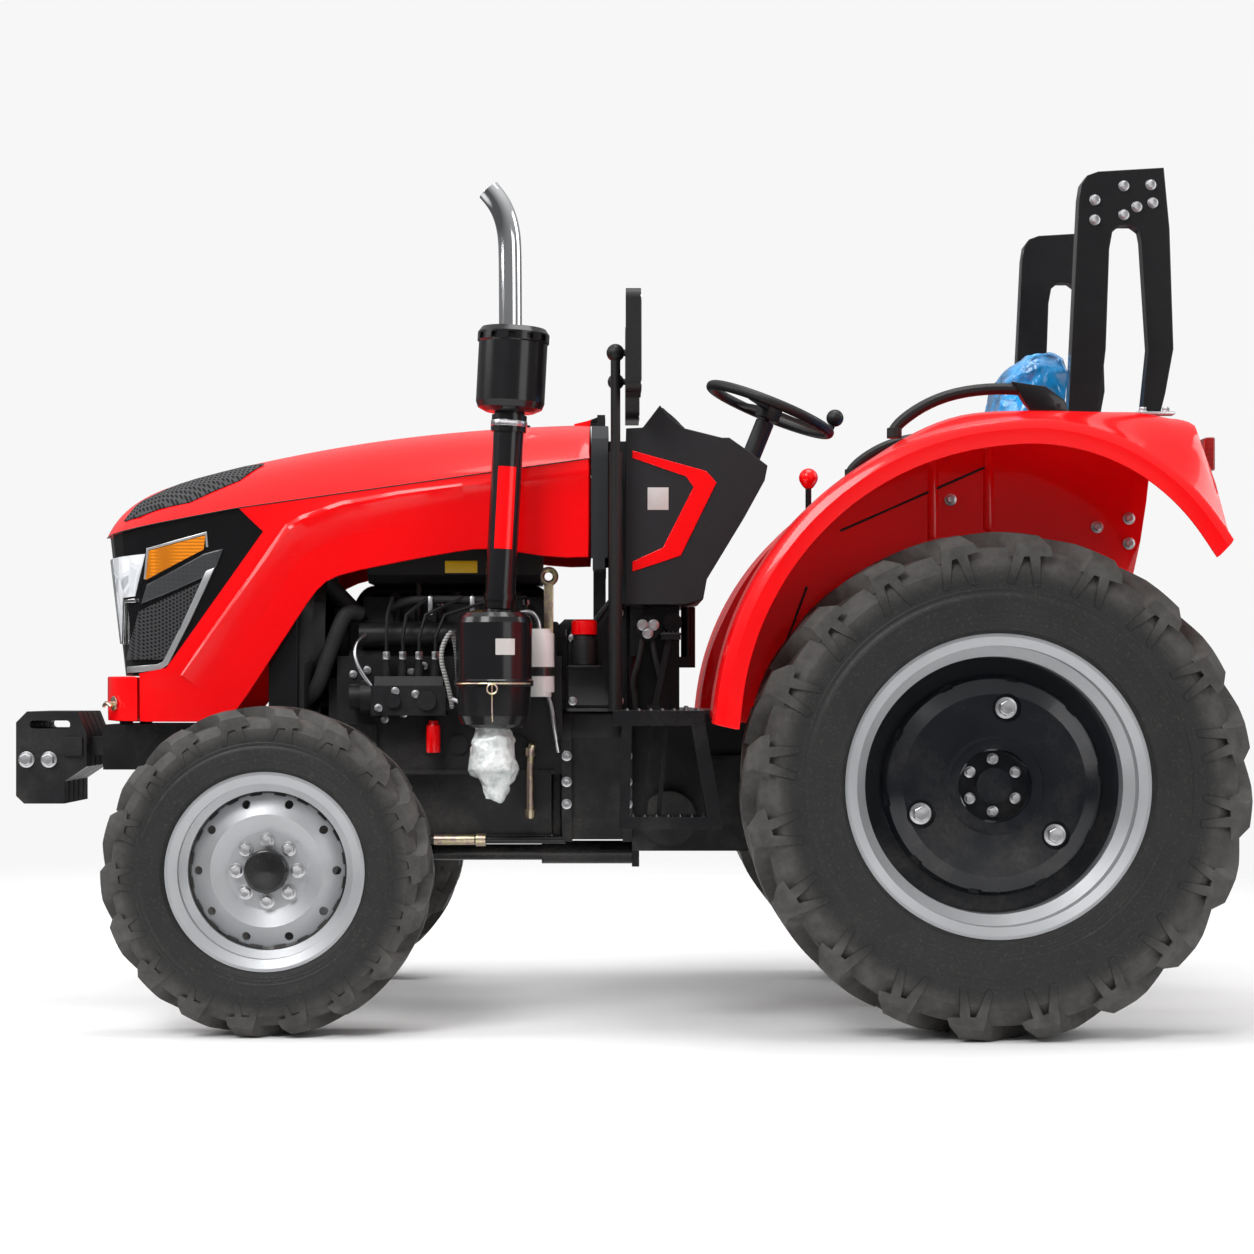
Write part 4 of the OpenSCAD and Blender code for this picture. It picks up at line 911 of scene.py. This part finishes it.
class MakeNoseTrim(bpy.types.Operator):
    """Model the lamp frames, smoked bands, latches and the hood's creases and seams"""

    bl_idname = "tractor.make_nose_trim"
    bl_label = "Nose trim"

    def band(self, edges, across, thick):
        """A curved plate between two lines of the side view, laid on the lamp mask."""
        obj, points = sheet(len(edges[0]), across + 1)
        for i, point in enumerate(points):
            row, step = divmod(i, across + 1)
            near, far = (Vector((NOSE - line[row][0], line[row][1])) for line in edges)
            x, z = near.lerp(far, step / across)
            point.co = at(x, 400, z)
        modify(obj, "SUBSURF", subdivision_type="SIMPLE", levels=2, render_levels=2)
        lay_on(obj, "nose_mask")
        face_left(obj)
        modify(obj, "SOLIDIFY", thickness=thick, offset=1)
        return bevel(obj, 0.0012, angle=0.9)

    def crease(self):
        """The pressed crease of a hood side: a narrow slope that faces up, and a long fall behind it."""
        # Photo place, height and width of the slope
        marks = ((182, 676, 4, 5), (215, 630, 8, 8), (250, 582, 9, 10), (280, 541, 10, 13), (290, 530, 9, 18),
                 (304, 523, 7.5, 21), (343, 509, 6, 20), (400, 498, 4, 18), (463, 488.5, 0.6, 12))
        line = [Vector((*seen(px, py, HALF_ROOT), high, wide)) for px, py, high, wide in marks]
        rows = [a.lerp(b, i / 4) for a, b in zip(line, line[1:]) for i in range(4)] + [line[-1]]
        steps = (1.0, 0.5, 0.0, -1.0, -2.0, -3.0, -4.0)
        fall = 20
        obj, points = sheet(len(rows), len(steps))
        heights = []
        for i, point in enumerate(points):
            row, step = i // len(steps), steps[i % len(steps)]
            ahead = rows[min(row + 2, len(rows) - 1)] - rows[max(row - 2, 0)]
            out = Vector((ahead[1], -ahead[0])).normalized()
            x, z, high, wide = rows[row]
            reach = step * (wide if step > 0 else fall)
            point.co = at(x + out.x * reach, 400, z + out.y * reach)
            share = 1 - step if step > 0 else (1 + step / 4) ** 1.4
            heights.append((point.index, (0.3 + high * share) / 1000))
        lay_on(obj, "hood_side_left")
        for index, high in heights:
            obj.data.vertices[index].co.y += high
        face_left(obj)
        return modify(obj, "SOLIDIFY", thickness=0.002, offset=-1)

    def execute(self, context):
        # Each piece between two lines of distances behind the nose and heights
        for name, finish, across, thick, near, far in (
            ("lamp_frames", "satin", 2, 0.0078,
             ((330, 1196), (262, 1050), (204, 936), (182, 921), (120, 916), (84, 914)),
             ((306, 1186), (246, 1054), (190, 944), (176, 937), (118, 933), (84, 932))),
            ("smoked_bands", "smoked", 3, 0.0066,
             ((130, 1100), (190, 1122), (250, 1148), (303, 1172), (333, 1196)),
             ((146, 1150), (200, 1178), (260, 1210), (300, 1232), (352, 1246))),
            ("lamp_rims", "chrome", 1, 0.0085,
             ((117, 1104), (84, 1104), (75, 992)), ((113, 1114), (78, 1112), (68, 994))),
            ("turn_lamp_rims", "satin", 1, 0.0075,
             ((144, 1170), (153, 1243), (304, 1284), (306, 1252)),
             ((138, 1164), (146, 1248), (308, 1292), (312, 1250))),
        ):
            settle(both_sides(self.band((near, far), across, thick)), finish, name, "hood")
        settle(both_sides(self.crease()), "red", "hood_creases", "hood", 13)

        seams = []
        stations = [HOOD_REAR + 2 + i * (NOSE - 12 - HOOD_REAR) / 40 for i in range(41)]
        for _, side, _ in SIDES:
            line = [at(x, side * (hood_width(x) + 0.4), hood_edge(x) - 0.2) for x in stations]
            seams.append(pipe(line, 0.0017, smooth=False, sides=1))
        settle(joined(seams), "mould", "hood_seams", "hood")

        x = NOSE - 47
        base = bevel(cylinder(0.02, 0.004, (0, 0, 0.002)), 0.001)
        stem = cylinder(0.006, 0.024, (0, 0, 0.014), 16)
        grip = pipe([(-0.024, 0.008, 0.02), (-0.012, 0, 0.024), (0.012, 0, 0.024), (0.024, 0.008, 0.02)], 0.0045)
        latch = joined([base, stem, grip])
        slope = math.atan2(hood_width(x + 8) - hood_width(x - 8), 16)
        latch.data.transform(put(at(x, hood_width(x) + 1.0, 832), Matrix.Rotation(slope, 4, "Z") @ FACE_LEFT))
        settle(both_sides(latch), "zinc", "hood_latches", "hood")
        return {"FINISHED"}


class MakeSeat(bpy.types.Operator):
    """Model the padded seat in its wrinkled wrapping film"""

    bl_idname = "tractor.make_seat"
    bl_label = "Wrapped seat"

    def execute(self, context):
        seat = edit(copy_of("seat"), lambda: bpy.ops.mesh.dissolve_limited(angle_limit=math.radians(1)), face_out)
        bevel(seat, 0.075, 6, math.radians(50))
        modify(seat, "REMESH", mode="VOXEL", voxel_size=0.012)
        modify(seat, "DISPLACE", strength=-0.02, mid_level=0)
        rest = [point.co.copy() for point in seat.data.vertices]
        cloth = seat.modifiers.new("puff", "CLOTH").settings
        cloth.use_pressure, cloth.uniform_pressure_force, cloth.mass = True, 4.0, 0.3
        cloth.tension_stiffness = cloth.compression_stiffness = 12
        cloth.effector_weights.gravity = 0
        for step in range(1, 15):
            context.scene.frame_set(step)
        activate(seat)
        bpy.ops.object.modifier_apply(modifier="puff")
        context.scene.frame_set(1)
        farthest = 0.022
        for point, before in zip(seat.data.vertices, rest):
            way = point.co - before
            if way.length > farthest:
                point.co = before + way * (farthest / way.length)
        modify(seat, "SUBSURF", levels=1, render_levels=1)
        crumple(seat, ((0.2, 0.009), (0.09, 0.003)))
        settle(seat, "film", "wrapped_seat", angle=60)
        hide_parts("seat")
        return {"FINISHED"}


class MakeStationFittings(bpy.types.Operator):
    """Model the dials, mirror glass, knobs, pads, step teeth, bolts, rail feet, strips and blank label"""

    bl_idname = "tractor.make_station_fittings"
    bl_label = "Driver's station fittings"

    def execute(self, context):
        self.dash()
        self.controls()
        self.arches()
        self.fenders()

        # Caps and hoses of the hand valve on the pedestal
        caps = [put(at(x, 190.1, z), FACE_LEFT) for x, z in ((842, 1044), (872, 1044), (858, 1022))]
        settle(copies(hex_bolt(0.022, 0.014, 0.015), caps), "satin", "valve_caps")
        hoses = [tube(0.008, (845, 176, 1008), (840, 182, 960), (822, 176, 900), (826, 172, 850), (826, 172, 817)),
                 tube(0.008, (872, 176, 1006), (880, 186, 950), (900, 180, 890), (890, 172, 845), (890, 172, 817))]
        settle(joined(hoses), "rubber", "valve_hoses")
        settle(plate((0.056, 0.0008, 0.06), at(831, 250.4, 1381), 0.0002), "paper", "blank_label")
        return {"FINISHED"}

    def dash(self):
        """The instrument panel with its dials, and the mirrors' glass."""
        on_dash = put(at(790, 0, 1606), Matrix.Rotation(math.radians(-43), 4, "Y"))
        gauges = ((0, 0.036), (0.078, 0.025), (-0.078, 0.025))
        rings = [torus(radius, 0.003, (0, y, 0.007), 40, 10) for y, radius in gauges]
        panel = joined([plate((0.086, 0.27, 0.012), edge=0.004), *rings])
        settle(panel, "mould", "instrument_panel", place=on_dash)
        dials = []
        for y, ring in gauges:
            radius = ring - 0.001
            dials.append(inset_top(cylinder(radius, 0.002, (0, y, 0.0072), 40), (radius * 0.3, -0.0006)))
        settle(joined(dials), "dial", "dials", place=on_dash)

        glass = made(bpy.ops.mesh.primitive_plane_add, size=1)
        glass.data.transform(Matrix.Diagonal((0.146, 0.248, 1, 1)))
        edit(glass, lambda: bpy.ops.mesh.bevel(offset=0.022, segments=6, affect="VERTICES"),
             lambda: bpy.ops.mesh.extrude_region_move(TRANSFORM_OT_translate={"value": (0, 0, 0.0016)}), face_out)
        face_back = Matrix.Rotation(math.radians(-90), 4, "Y") @ Matrix.Rotation(math.radians(90), 4, "Z")
        glass.data.transform(put(at(877.9, 355, 1783), face_back))
        settle(both_sides(glass), "chrome", "mirror_glass")

    def controls(self):
        """Lever knobs, pedal pads and the steps' teeth."""
        knob = made(bpy.ops.mesh.primitive_uv_sphere_add, segments=28, ring_count=16, radius=0.0252)
        pick(knob, lambda c, _: c.z < -0.016, "VERT")
        bpy.ops.transform.resize(value=(0.8, 0.8, 1))
        bpy.ops.transform.translate(value=(0, 0, -0.006))
        bpy.ops.object.mode_set(mode="OBJECT")
        knobs = copies(knob, [put(at(434, 330, 1430)), put(at(520, 60, 1190))])
        settle(knobs, "red", "lever_knobs")
        ribs = [plate((0.004, 0.052, 0.004), Vector((x, 0, 0.0045)), 0.001) for x in (-0.018, -0.006, 0.006, 0.018)]
        pad = joined([plate((0.056, 0.058, 0.006)), *ribs])
        pads = copies(pad, [put(at(796, y, 1019.2)) for y in (157, 207, -163)])
        settle(pads, "rubber", "pedal_pads")
        tooth = made(bpy.ops.mesh.primitive_cone_add, vertices=10, radius1=0.0075, radius2=0.0035, depth=0.005,
                     location=(0, 0, 0.0025))
        inset_top(tooth, (0.0012, -0.002))
        spots = [put(at(x, side * y, z + 0.1)) for side in (1, -1) for z, start in ((546, 690), (816, 735))
                 for y in (500, 535, 570, 600) for x in range(start, 930, 30)]
        settle(copies(tooth, spots), "black", "step_teeth")

    def arches(self):
        """Bolts and feet of the safety arches, and the rear feet of the grab rails."""
        face = 486
        marks = ((1095, 200), (1095, 220), (1124, 186), (1124, 215), (1151, 185), (1153, 203), (1137, 207))
        bolts("arch_bolts", (0.019, 0.011, 0.014), on_sides(face + 0.1, [seen(*mark, face) for mark in marks]))
        studs = copies(hex_bolt(0.017, 0.009, 0.012), [put(Vector((x, 0, 0.008))) for x in (-0.03, 0.03)])
        foot = joined([plate((0.1, 0.044, 0.008), Vector((0, 0, 0.004))), studs])
        foot.data.transform(put(at(-444, 509, 1576.2)))
        settle(both_sides(foot), "satin", "arch_feet")
        foot = cut_plate([(-70, 1645), (-146, 1634), (-192, 1600), (-199, 1577), (-112, 1577), (-92, 1606)],
                         600, 0.036, 0.004)
        settle(both_sides(foot), "black", "rail_feet")

    def fenders(self):
        """Pressed beads, bolts and sealing strips on the fenders' inner walls."""
        beads = []
        for x, low, high in ((-27, 1285, 1505), (118, 1240, 1478)):
            bead = cylinder(0.016, (high - low) / 1000)
            pick(bead, lambda _, n: abs(n.z) > 0.9)
            bpy.ops.mesh.inset(thickness=0.005)
            bpy.ops.transform.resize(value=(1, 1, 1.03))
            bpy.ops.object.mode_set(mode="OBJECT")
            bevel(bead, 0.004, 3, 0.6)
            bead.data.transform(put(at(x, 431, (low + high) / 2), Matrix.Scale(0.75, 4, Vector((0, 1, 0)))))
            beads.append(bead)
        settle(both_sides(joined(beads)), "red", "fender_beads")
        spots = ((-393, 1250), (-393, 1315), (330, 1060), (-180, 1230), (72, 1364), (-310, 1293))
        bolts("fender_bolts", (0.019, 0.01, 0.016), on_sides(437.1, spots))
        strips = [tube(0.0032, *((x, 437.6, z) for x, z in line), smooth=False, sides=2)
                  for line in (((359, 1283), (-35, 1456)), ((516, 948), (446, 1137)))]
        settle(both_sides(joined(strips)), "rubber", "fender_strips")


class MakeEngineFittings(bpy.types.Operator):
    """Model the engine's pipes, hoses, bolts, valve cap, lifting eye and the intake's clamps, bands and labels"""

    bl_idname = "tractor.make_engine_fittings"
    bl_label = "Engine fittings"

    def execute(self, context):
        self.pipes()
        self.block_bolts()
        self.small_parts()
        self.air_cleaner()
        settle(plate((0.088, 0.0012, 0.033), at(1365, 150.7, 1203), 0.0004), "yellow", "blank_tank_plate")
        bolts("weight_bolts", (0.03, 0.016, 0.022), on_sides(150.1, ((2547, 679), (2486, 679))))
        return {"FINISHED"}

    def pipes(self):
        """Plated pipes, fuel lines, hoses, and the air pipe with its clips."""
        for name, finish, runs in (
            ("plated_tube", "zinc", [
                tube(0.0105, (1176, 183, 520), (1176, 184, 600), (1176, 184, 700), (1170, 190, 722), sides=4),
                bar(0.0145, (1176, 183, 690), (1176, 184, 712)), bar(0.0145, (1176, 183, 524), (1176, 184, 545))]),
            ("fuel_lines", "steel", [
                tube(0.005, (1402, 240, 850), (1380, 262, 846), (1340, 268, 820), (1316, 262, 770), (1312, 226, 742),
                     (1312, 182, 735)),
                tube(0.005, (1600, 250, 880), (1640, 256, 930), (1650, 214, 1000), (1620, 180, 1018)),
                tube(0.006, (1148, 247, 1032), (1150, 247, 1060), (1180, 236, 1085), (1230, 190, 1066),
                     (1250, 172, 1046)),
                tube(0.006, (1100, 178, 700), (1110, 196, 760), (1120, 190, 840), (1140, 180, 880))]),
            ("coolant_hoses", "rubber", [
                tube(0.024, (1660, 60, 1080), (1700, 70, 1120), (1760, 80, 1190), (1806, 80, 1210), sides=5),
                tube(0.022, (1730, 90, 700), (1770, 120, 760), (1806, 130, 830), sides=5),
                tube(0.013, (1350, 190, 900), (1370, 214, 960), (1350, 214, 1040), (1300, 176, 1040), sides=4)]),
            ("drain_hose", "hose", [
                tube(0.0065, (1372, 176, 900), (1376, 226, 1044), (1408, 262, 992), (1412, 268, 947),
                     (1401, 268, 910), (1391, 262, 872), (1385, 252, 838), (1384, 240, 822), sides=4)]),
            ("air_pipe", "rubber", [
                tube(0.0115, (1560, 120, 1090), (1520, 168, 1112), (1446, 176, 1113), (1322, 176, 1112),
                     (1250, 176, 1104), (1215, 120, 1086), sides=4)]),
        ):
            settle(joined(runs), finish, name)
        clips = []
        for x in (1446, 1333):
            strap = torus(0.0135, 0.003)
            strap.data.transform(put(at(x, 176, 1112.5), Matrix.Rotation(math.radians(90), 4, "Y")))
            clips += [strap, plate((0.012, 0.006, 0.05), at(x, 190, 1096), 0.0015)]
        settle(joined(clips), "steel", "pipe_clips")
        fan = tube(0.021, (1640, 150, 1075), (1668, 176, 1086), (1690, 186, 1050), (1726, 186, 950),
                   (1750, 178, 880), (1784, 150, 842), (1804, 150, 836), sides=5)
        settle(fan, "rubber", "fan_hose")

    def block_bolts(self):
        """Bolts on the pump, the block and the gearbox's flange."""
        spots, block, pump = [], 172, 257
        # Places in an enlarged part of the photo
        for cx, cy in ((760, 695), (1030, 735), (840, 850), (1025, 900), (935, 945), (915, 1000), (865, 1025),
                       (820, 1080), (965, 1100), (1130, 1055), (1190, 780), (700, 650), (885, 685), (805, 805),
                       (500, 770), (570, 785), (520, 960), (620, 930), (880, 1240), (700, 1200), (560, 1160),
                       (745, 1280)):
            px, py = 280 + cx / 7.125, 540 + cy / 7.127
            for y, (left, right), (low, high) in ((pump, (1408, 1592), (806, 874)), (block, (1098, 1692), (660, 950))):
                x, z = seen(px, py, y)
                if left < x < right and low < z < high:
                    spots.append(put(at(x, y + 0.1, z), FACE_LEFT))
                    break
        bolts("engine_bolts", (0.014, 0.01, 0.011), spots)
        bolts("flange_bolts", (0.018, 0.011, 0.014),
              on_sides(192.1, [(x, z) for x in (913, 1077) for z in (560, 620, 690)]))

    def small_parts(self):
        """Flywheel cover, red valve cap on its fitting, and lifting eye."""
        flywheel = plate((0.028, 0.22, 0.2), at(1105, 0, 548), 0.006)
        pick(flywheel, lambda _, n: abs(n.y) > 0.9)
        bpy.ops.mesh.inset(thickness=0.005)
        bpy.ops.mesh.extrude_region_move(TRANSFORM_OT_translate={"value": (0, 0, 0)})
        bpy.ops.transform.resize(value=(1, 1.03, 1))
        bpy.ops.object.mode_set(mode="OBJECT")
        settle(flywheel, "cast", "flywheel_cover")
        cap = bevel(raise_top(cylinder(0.019, 0.075, at(1436, 214, 737)), 0.006, 0.012), 0.002)
        settle(cap, "red", "valve_cap")
        stub = cylinder(0.014, 0.02, sides=6)
        stub.data.transform(put(at(1436, 189, 737), FACE_LEFT))
        settle(bevel(stub, 0.001), "steel", "valve_fitting")
        eye = torus(0.019, 0.008, around=32, across=10)
        eye.data.transform(put(at(1128, 122, 1178), FACE_LEFT))
        shank = plate((0.026, 0.012, 0.15), at(1128, 122, 1088), 0.003)
        settle(joined([eye, shank]), "zinc", "lifting_eye")

    def air_cleaner(self):
        """Wire bail of the air cleaner, clamp and red band of its pipe, and its blank label."""
        reach = 0.106
        angles = [math.radians(25 + 130 * i / 16) for i in range(17)]
        bail = [at(1263, 402, 885) + reach * Vector((math.cos(a), math.sin(a), 0)) for a in angles]
        front = bail[8]
        leg = [front + Vector((0, y, z)) for y, z in ((0, 0), (0.003, -0.03), (-0.006, -0.07), (-0.02, -0.098))]
        loop = torus(0.013, 0.0022, around=24)
        loop.data.transform(put(front + Vector((0, 0.002, -0.014)), FACE_LEFT))
        settle(joined([pipe(bail, 0.0022), pipe(leg, 0.0022), loop]), "zinc", "cleaner_bail")

        on_pipe = put(at(1249, 402, 1081.7), Matrix.Rotation(math.radians(-3), 4, "Y"))
        clamp = bevel(cylinder(0.0478, 0.016, (0, 0, 0.484), 48), 0.002)
        clamp = joined([clamp, pipe([(-0.02, 0.052, 0.484), (0.02, 0.052, 0.484)], 0.006, smooth=False)])
        settle(clamp, "steel", "intake_clamp", place=on_pipe)
        settle(wrap(0.0404, 0.155, 0.37, 62, 132), "red", "intake_band", place=on_pipe)
        label = wrap(0.1003, 0.959, 1.001, 96, 126)
        settle(label, "paper", "blank_cleaner_label", place=put(at(1263, 402, 0)))


class MakeBayFittings(bpy.types.Operator):
    """Model the fan cowl, water outlet, air duct, reservoir, dash plates, brake rod, union nuts and the bowl's bag"""

    bl_idname = "tractor.make_bay_fittings"
    bl_label = "Engine bay fittings"

    def execute(self, context):
        self.cowl()
        outlet = plate((0.05, 0.15, 0.15), at(1695, 0, 1030), 0.014)
        neck = tube(0.028, (1668, 60, 1072), (1650, 60, 1072), (1640, 60, 1082), sides=5)
        settle(joined([outlet, neck]), "engine", "water_outlet")
        duct = tube(0.02, (1140, -40, 1090), (1150, -55, 1136), (1190, -60, 1144), (1400, -60, 1144),
                    (1600, -60, 1144), (1650, -58, 1136), (1668, -50, 1070), sides=5)
        settle(duct, "mould", "air_duct")
        self.under_dash()

        # Brake rod under the sump
        rod = [bar(0.011, (1082, 128, 460), (1600, 128, 460)), plate((0.034, 0.012, 0.2), at(1600, 128, 545), 0.003)]
        settle(joined(rod), "black", "brake_rod")
        sleeve = [bar(0.0145, (1330, 128, 460), (1440, 128, 460)), bar(0.018, (1300, 128, 460), (1326, 128, 460))]
        settle(joined(sleeve), "zinc", "rod_sleeve")
        bolts("union_nuts", (0.019, 0.018, 0.011), [put(at(start + i * pitch, y, z)) for start, pitch, y, z in
                                                    ((1430, 44, 217, 950), (1190, 118, 92, 1094)) for i in range(4)])

        # Film bag tied over the fuel bowl
        bag = copy_of("fuel_bowl")
        modify(bag, "REMESH", mode="VOXEL", voxel_size=0.005)
        crumple(bag, ((0.09, 0.011), (0.035, 0.004)))
        modify(bag, "SMOOTH", factor=0.5, iterations=2)
        settle(bag, "bag", "bowl_bag", angle=60)
        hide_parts("fuel_bowl")
        return {"FINISHED"}

    def cowl(self):
        """The fan's cowl, square at the radiator and round at the fan."""
        cowl = edit(cylinder(1, 1, sides=40, end_fill_type="NOTHING"), lambda: bpy.ops.mesh.subdivide(number_cuts=3))
        roundness, depths = (0, 0, 0.8, 1, 1), (0, 16, 34, 42, 72)
        for point in cowl.data.vertices:
            turn, ring = math.atan2(point.co.y, point.co.x), round((point.co.z + 0.5) * 4)
            way = Vector((math.cos(turn), math.sin(turn)))
            square = Vector((way.x * 205, way.y * 235)) / max(abs(way.x), abs(way.y))
            y, z = square.lerp(way * 198, roundness[ring])
            point.co = at(1801.5 - depths[ring], y, 1026 + z)
        edit(cowl, face_out)
        modify(cowl, "SOLIDIFY", thickness=0.004, offset=-1)
        settle(bevel(cowl, 0.001, angle=0.8), "mould", "fan_cowl")

    def under_dash(self):
        """Side plates under the dash, with their bolts and the reservoir."""
        side = cut_plate([(1088, 811), (1088, 957), (1104, 957), (1104, 1040), (1084, 1060), (1004, 1060), (966, 1112),
                          (892, 1112), (892, 811)], 122, 0.005)
        rim = tube(0.004, *((x, 127, z) for x, z in (
            (1078, 822), (1078, 1030), (1058, 1049), (1000, 1049), (962, 1100), (914, 1100), (914, 822), (1078, 822))),
            smooth=False)
        settle(both_sides(joined([side, rim])), "black", "dash_plates")
        bolts("dash_bolts", (0.015, 0.009, 0.012), on_sides(125, ((1062, 838), (1062, 1010), (934, 838), (934, 1080))))
        tank = bevel(raise_top(cylinder(0.036, 0.07, at(1030, 164, 970), 40), 0.006, 0.012), 0.004, 3, 0.6)
        shelf = plate((0.09, 0.084, 0.006), at(1030, 162, 932))
        settle(joined([tank, shelf]), "mould", "reservoir")
        cap = bevel(inset_top(cylinder(0.035, 0.036, at(1030, 164, 1036), 20), (0.008, 0.005)), 0.003, angle=0.25)
        settle(cap, "red", "reservoir_cap", angle=15)


class SetStage(bpy.types.Operator):
    """Lay the floor, hang the soft lights and set the camera"""

    bl_idname = "tractor.set_stage"
    bl_label = "Set the stage"

    def execute(self, context):
        floor = made(bpy.ops.mesh.primitive_plane_add, size=60)
        floor.name = "studio_floor"
        tint = Paint("studio_floor", Roughness=0.6, Specular_IOR_Level=0.2)
        tint.put("Base Color", tint.blend(tint.noise(0.6, 2), (0.84, 0.84, 0.84), (0.88, 0.88, 0.88)))
        x, y, _ = tint.axes()
        tint.put("Alpha", 1 - ((x * x * 0.7 + y * y) ** 0.5).over(4.2, 2.2))
        cover(floor, tint)
        world = context.scene.world or bpy.data.worlds.new("studio")
        context.scene.world = world
        world.use_nodes = True
        tree = world.node_tree
        ray, place = tree.nodes.new("ShaderNodeLightPath"), tree.nodes.new("ShaderNodeTexCoord")
        split, ramp = tree.nodes.new("ShaderNodeSeparateXYZ"), tree.nodes.new("ShaderNodeValToRGB")
        seen, glow = tree.nodes["Background"], tree.nodes.new("ShaderNodeBackground")
        mixed = tree.nodes.new("ShaderNodeMixShader")
        tree.links.new(place.outputs["Generated"], split.inputs[0])
        tree.links.new(split.outputs[2], ramp.inputs[0])
        for stop, (height, grey) in zip((*ramp.color_ramp.elements, ramp.color_ramp.elements.new(0.5)),
                                        ((0.0, 0.1), (1.0, 0.85), (0.35, 0.36))):
            stop.position, stop.color = height, (grey, grey, grey * 1.02, 1)
        tree.links.new(ramp.outputs[0], glow.inputs[0])
        tree.links.new(ray.outputs["Is Camera Ray"], mixed.inputs[0])
        tree.links.new(glow.outputs[0], mixed.inputs[1])
        tree.links.new(seen.outputs[0], mixed.inputs[2])
        tree.links.new(mixed.outputs[0], tree.nodes["World Output"].inputs[0])
        seen.inputs[0].default_value = (0.93, 0.93, 0.93, 1)
        for name, place, aim, size, power in (
            ("key_light", (3.0, 5.5, 6.0), (0, 0, 0.9), 3.0, 330),
            ("fill_light", (-5.0, 6.0, 2.6), (-0.3, 0, 0.8), 3.5, 80),
            ("top_light", (-0.6, 0.4, 6.0), (0, 0, 0.5), 3.0, 150),
            ("far_light", (2.0, -6.5, 4.0), (0, 0, 0.9), 3.5, 150),
            ("front_light", (6.0, 0.9, 4.4), (0.9, 0, 1.0), 3.0, 150),
            ("back_light", (-6.5, -1.2, 4.2), (-0.9, 0, 0.9), 3.5, 130),
        ):
            data = bpy.data.lights.new(name, "AREA")
            data.energy, data.size = power, size
            lamp = bpy.data.objects.new(name, data)
            context.scene.collection.objects.link(lamp)
            lamp.location = place
            lamp.visible_glossy = name != "far_light"
            lamp.rotation_euler = (Vector(aim) - Vector(place)).to_track_quat("-Z", "Y").to_euler()
        data = bpy.data.cameras.new("photo_camera")
        data.sensor_width, data.lens = 36, context.scene.tractor_sizes.lens
        data.shift_x, data.shift_y = 7 / PHOTO_WIDTH, 0.05
        camera = bpy.data.objects.new("photo_camera", data)
        context.scene.collection.objects.link(camera)
        camera.location = at(*CAMERA)
        camera.rotation_euler = (math.radians(90), 0, math.radians(180))
        context.scene.camera = camera
        context.scene.view_settings.view_transform = "Standard"
        return {"FINISHED"}


class TractorPanel(bpy.types.Panel):
    """Steps that dress the tractor"""

    bl_label = "Tractor"
    bl_idname = "VIEW3D_PT_tractor"
    bl_space_type = "VIEW_3D"
    bl_region_type = "UI"
    bl_category = "Tractor"

    def draw(self, context):
        for group in (context.scene.tractor_paint, context.scene.tractor_sizes):
            for key in group.__annotations__:
                self.layout.prop(group, key)
        for step in STEPS:
            self.layout.operator(step.bl_idname)


STEPS = (
    PaintFrame, DressSheetMetal, MakeWheelFittings, MakeNoseTrim, MakeSeat, MakeStationFittings, MakeEngineFittings,
    MakeBayFittings, SetStage,
)
CLASSES = (TractorPaint, TractorSizes, *STEPS, TractorPanel)


def register():
    for item in CLASSES:
        bpy.utils.register_class(item)
    bpy.types.Scene.tractor_paint = PointerProperty(type=TractorPaint)
    bpy.types.Scene.tractor_sizes = PointerProperty(type=TractorSizes)


def unregister():
    del bpy.types.Scene.tractor_sizes
    del bpy.types.Scene.tractor_paint
    for item in reversed(CLASSES):
        bpy.utils.unregister_class(item)


def main():
    register()
    for step in STEPS:
        group, name = step.bl_idname.split(".")
        getattr(getattr(bpy.ops, group), name)()


if __name__ == "__main__":
    main()
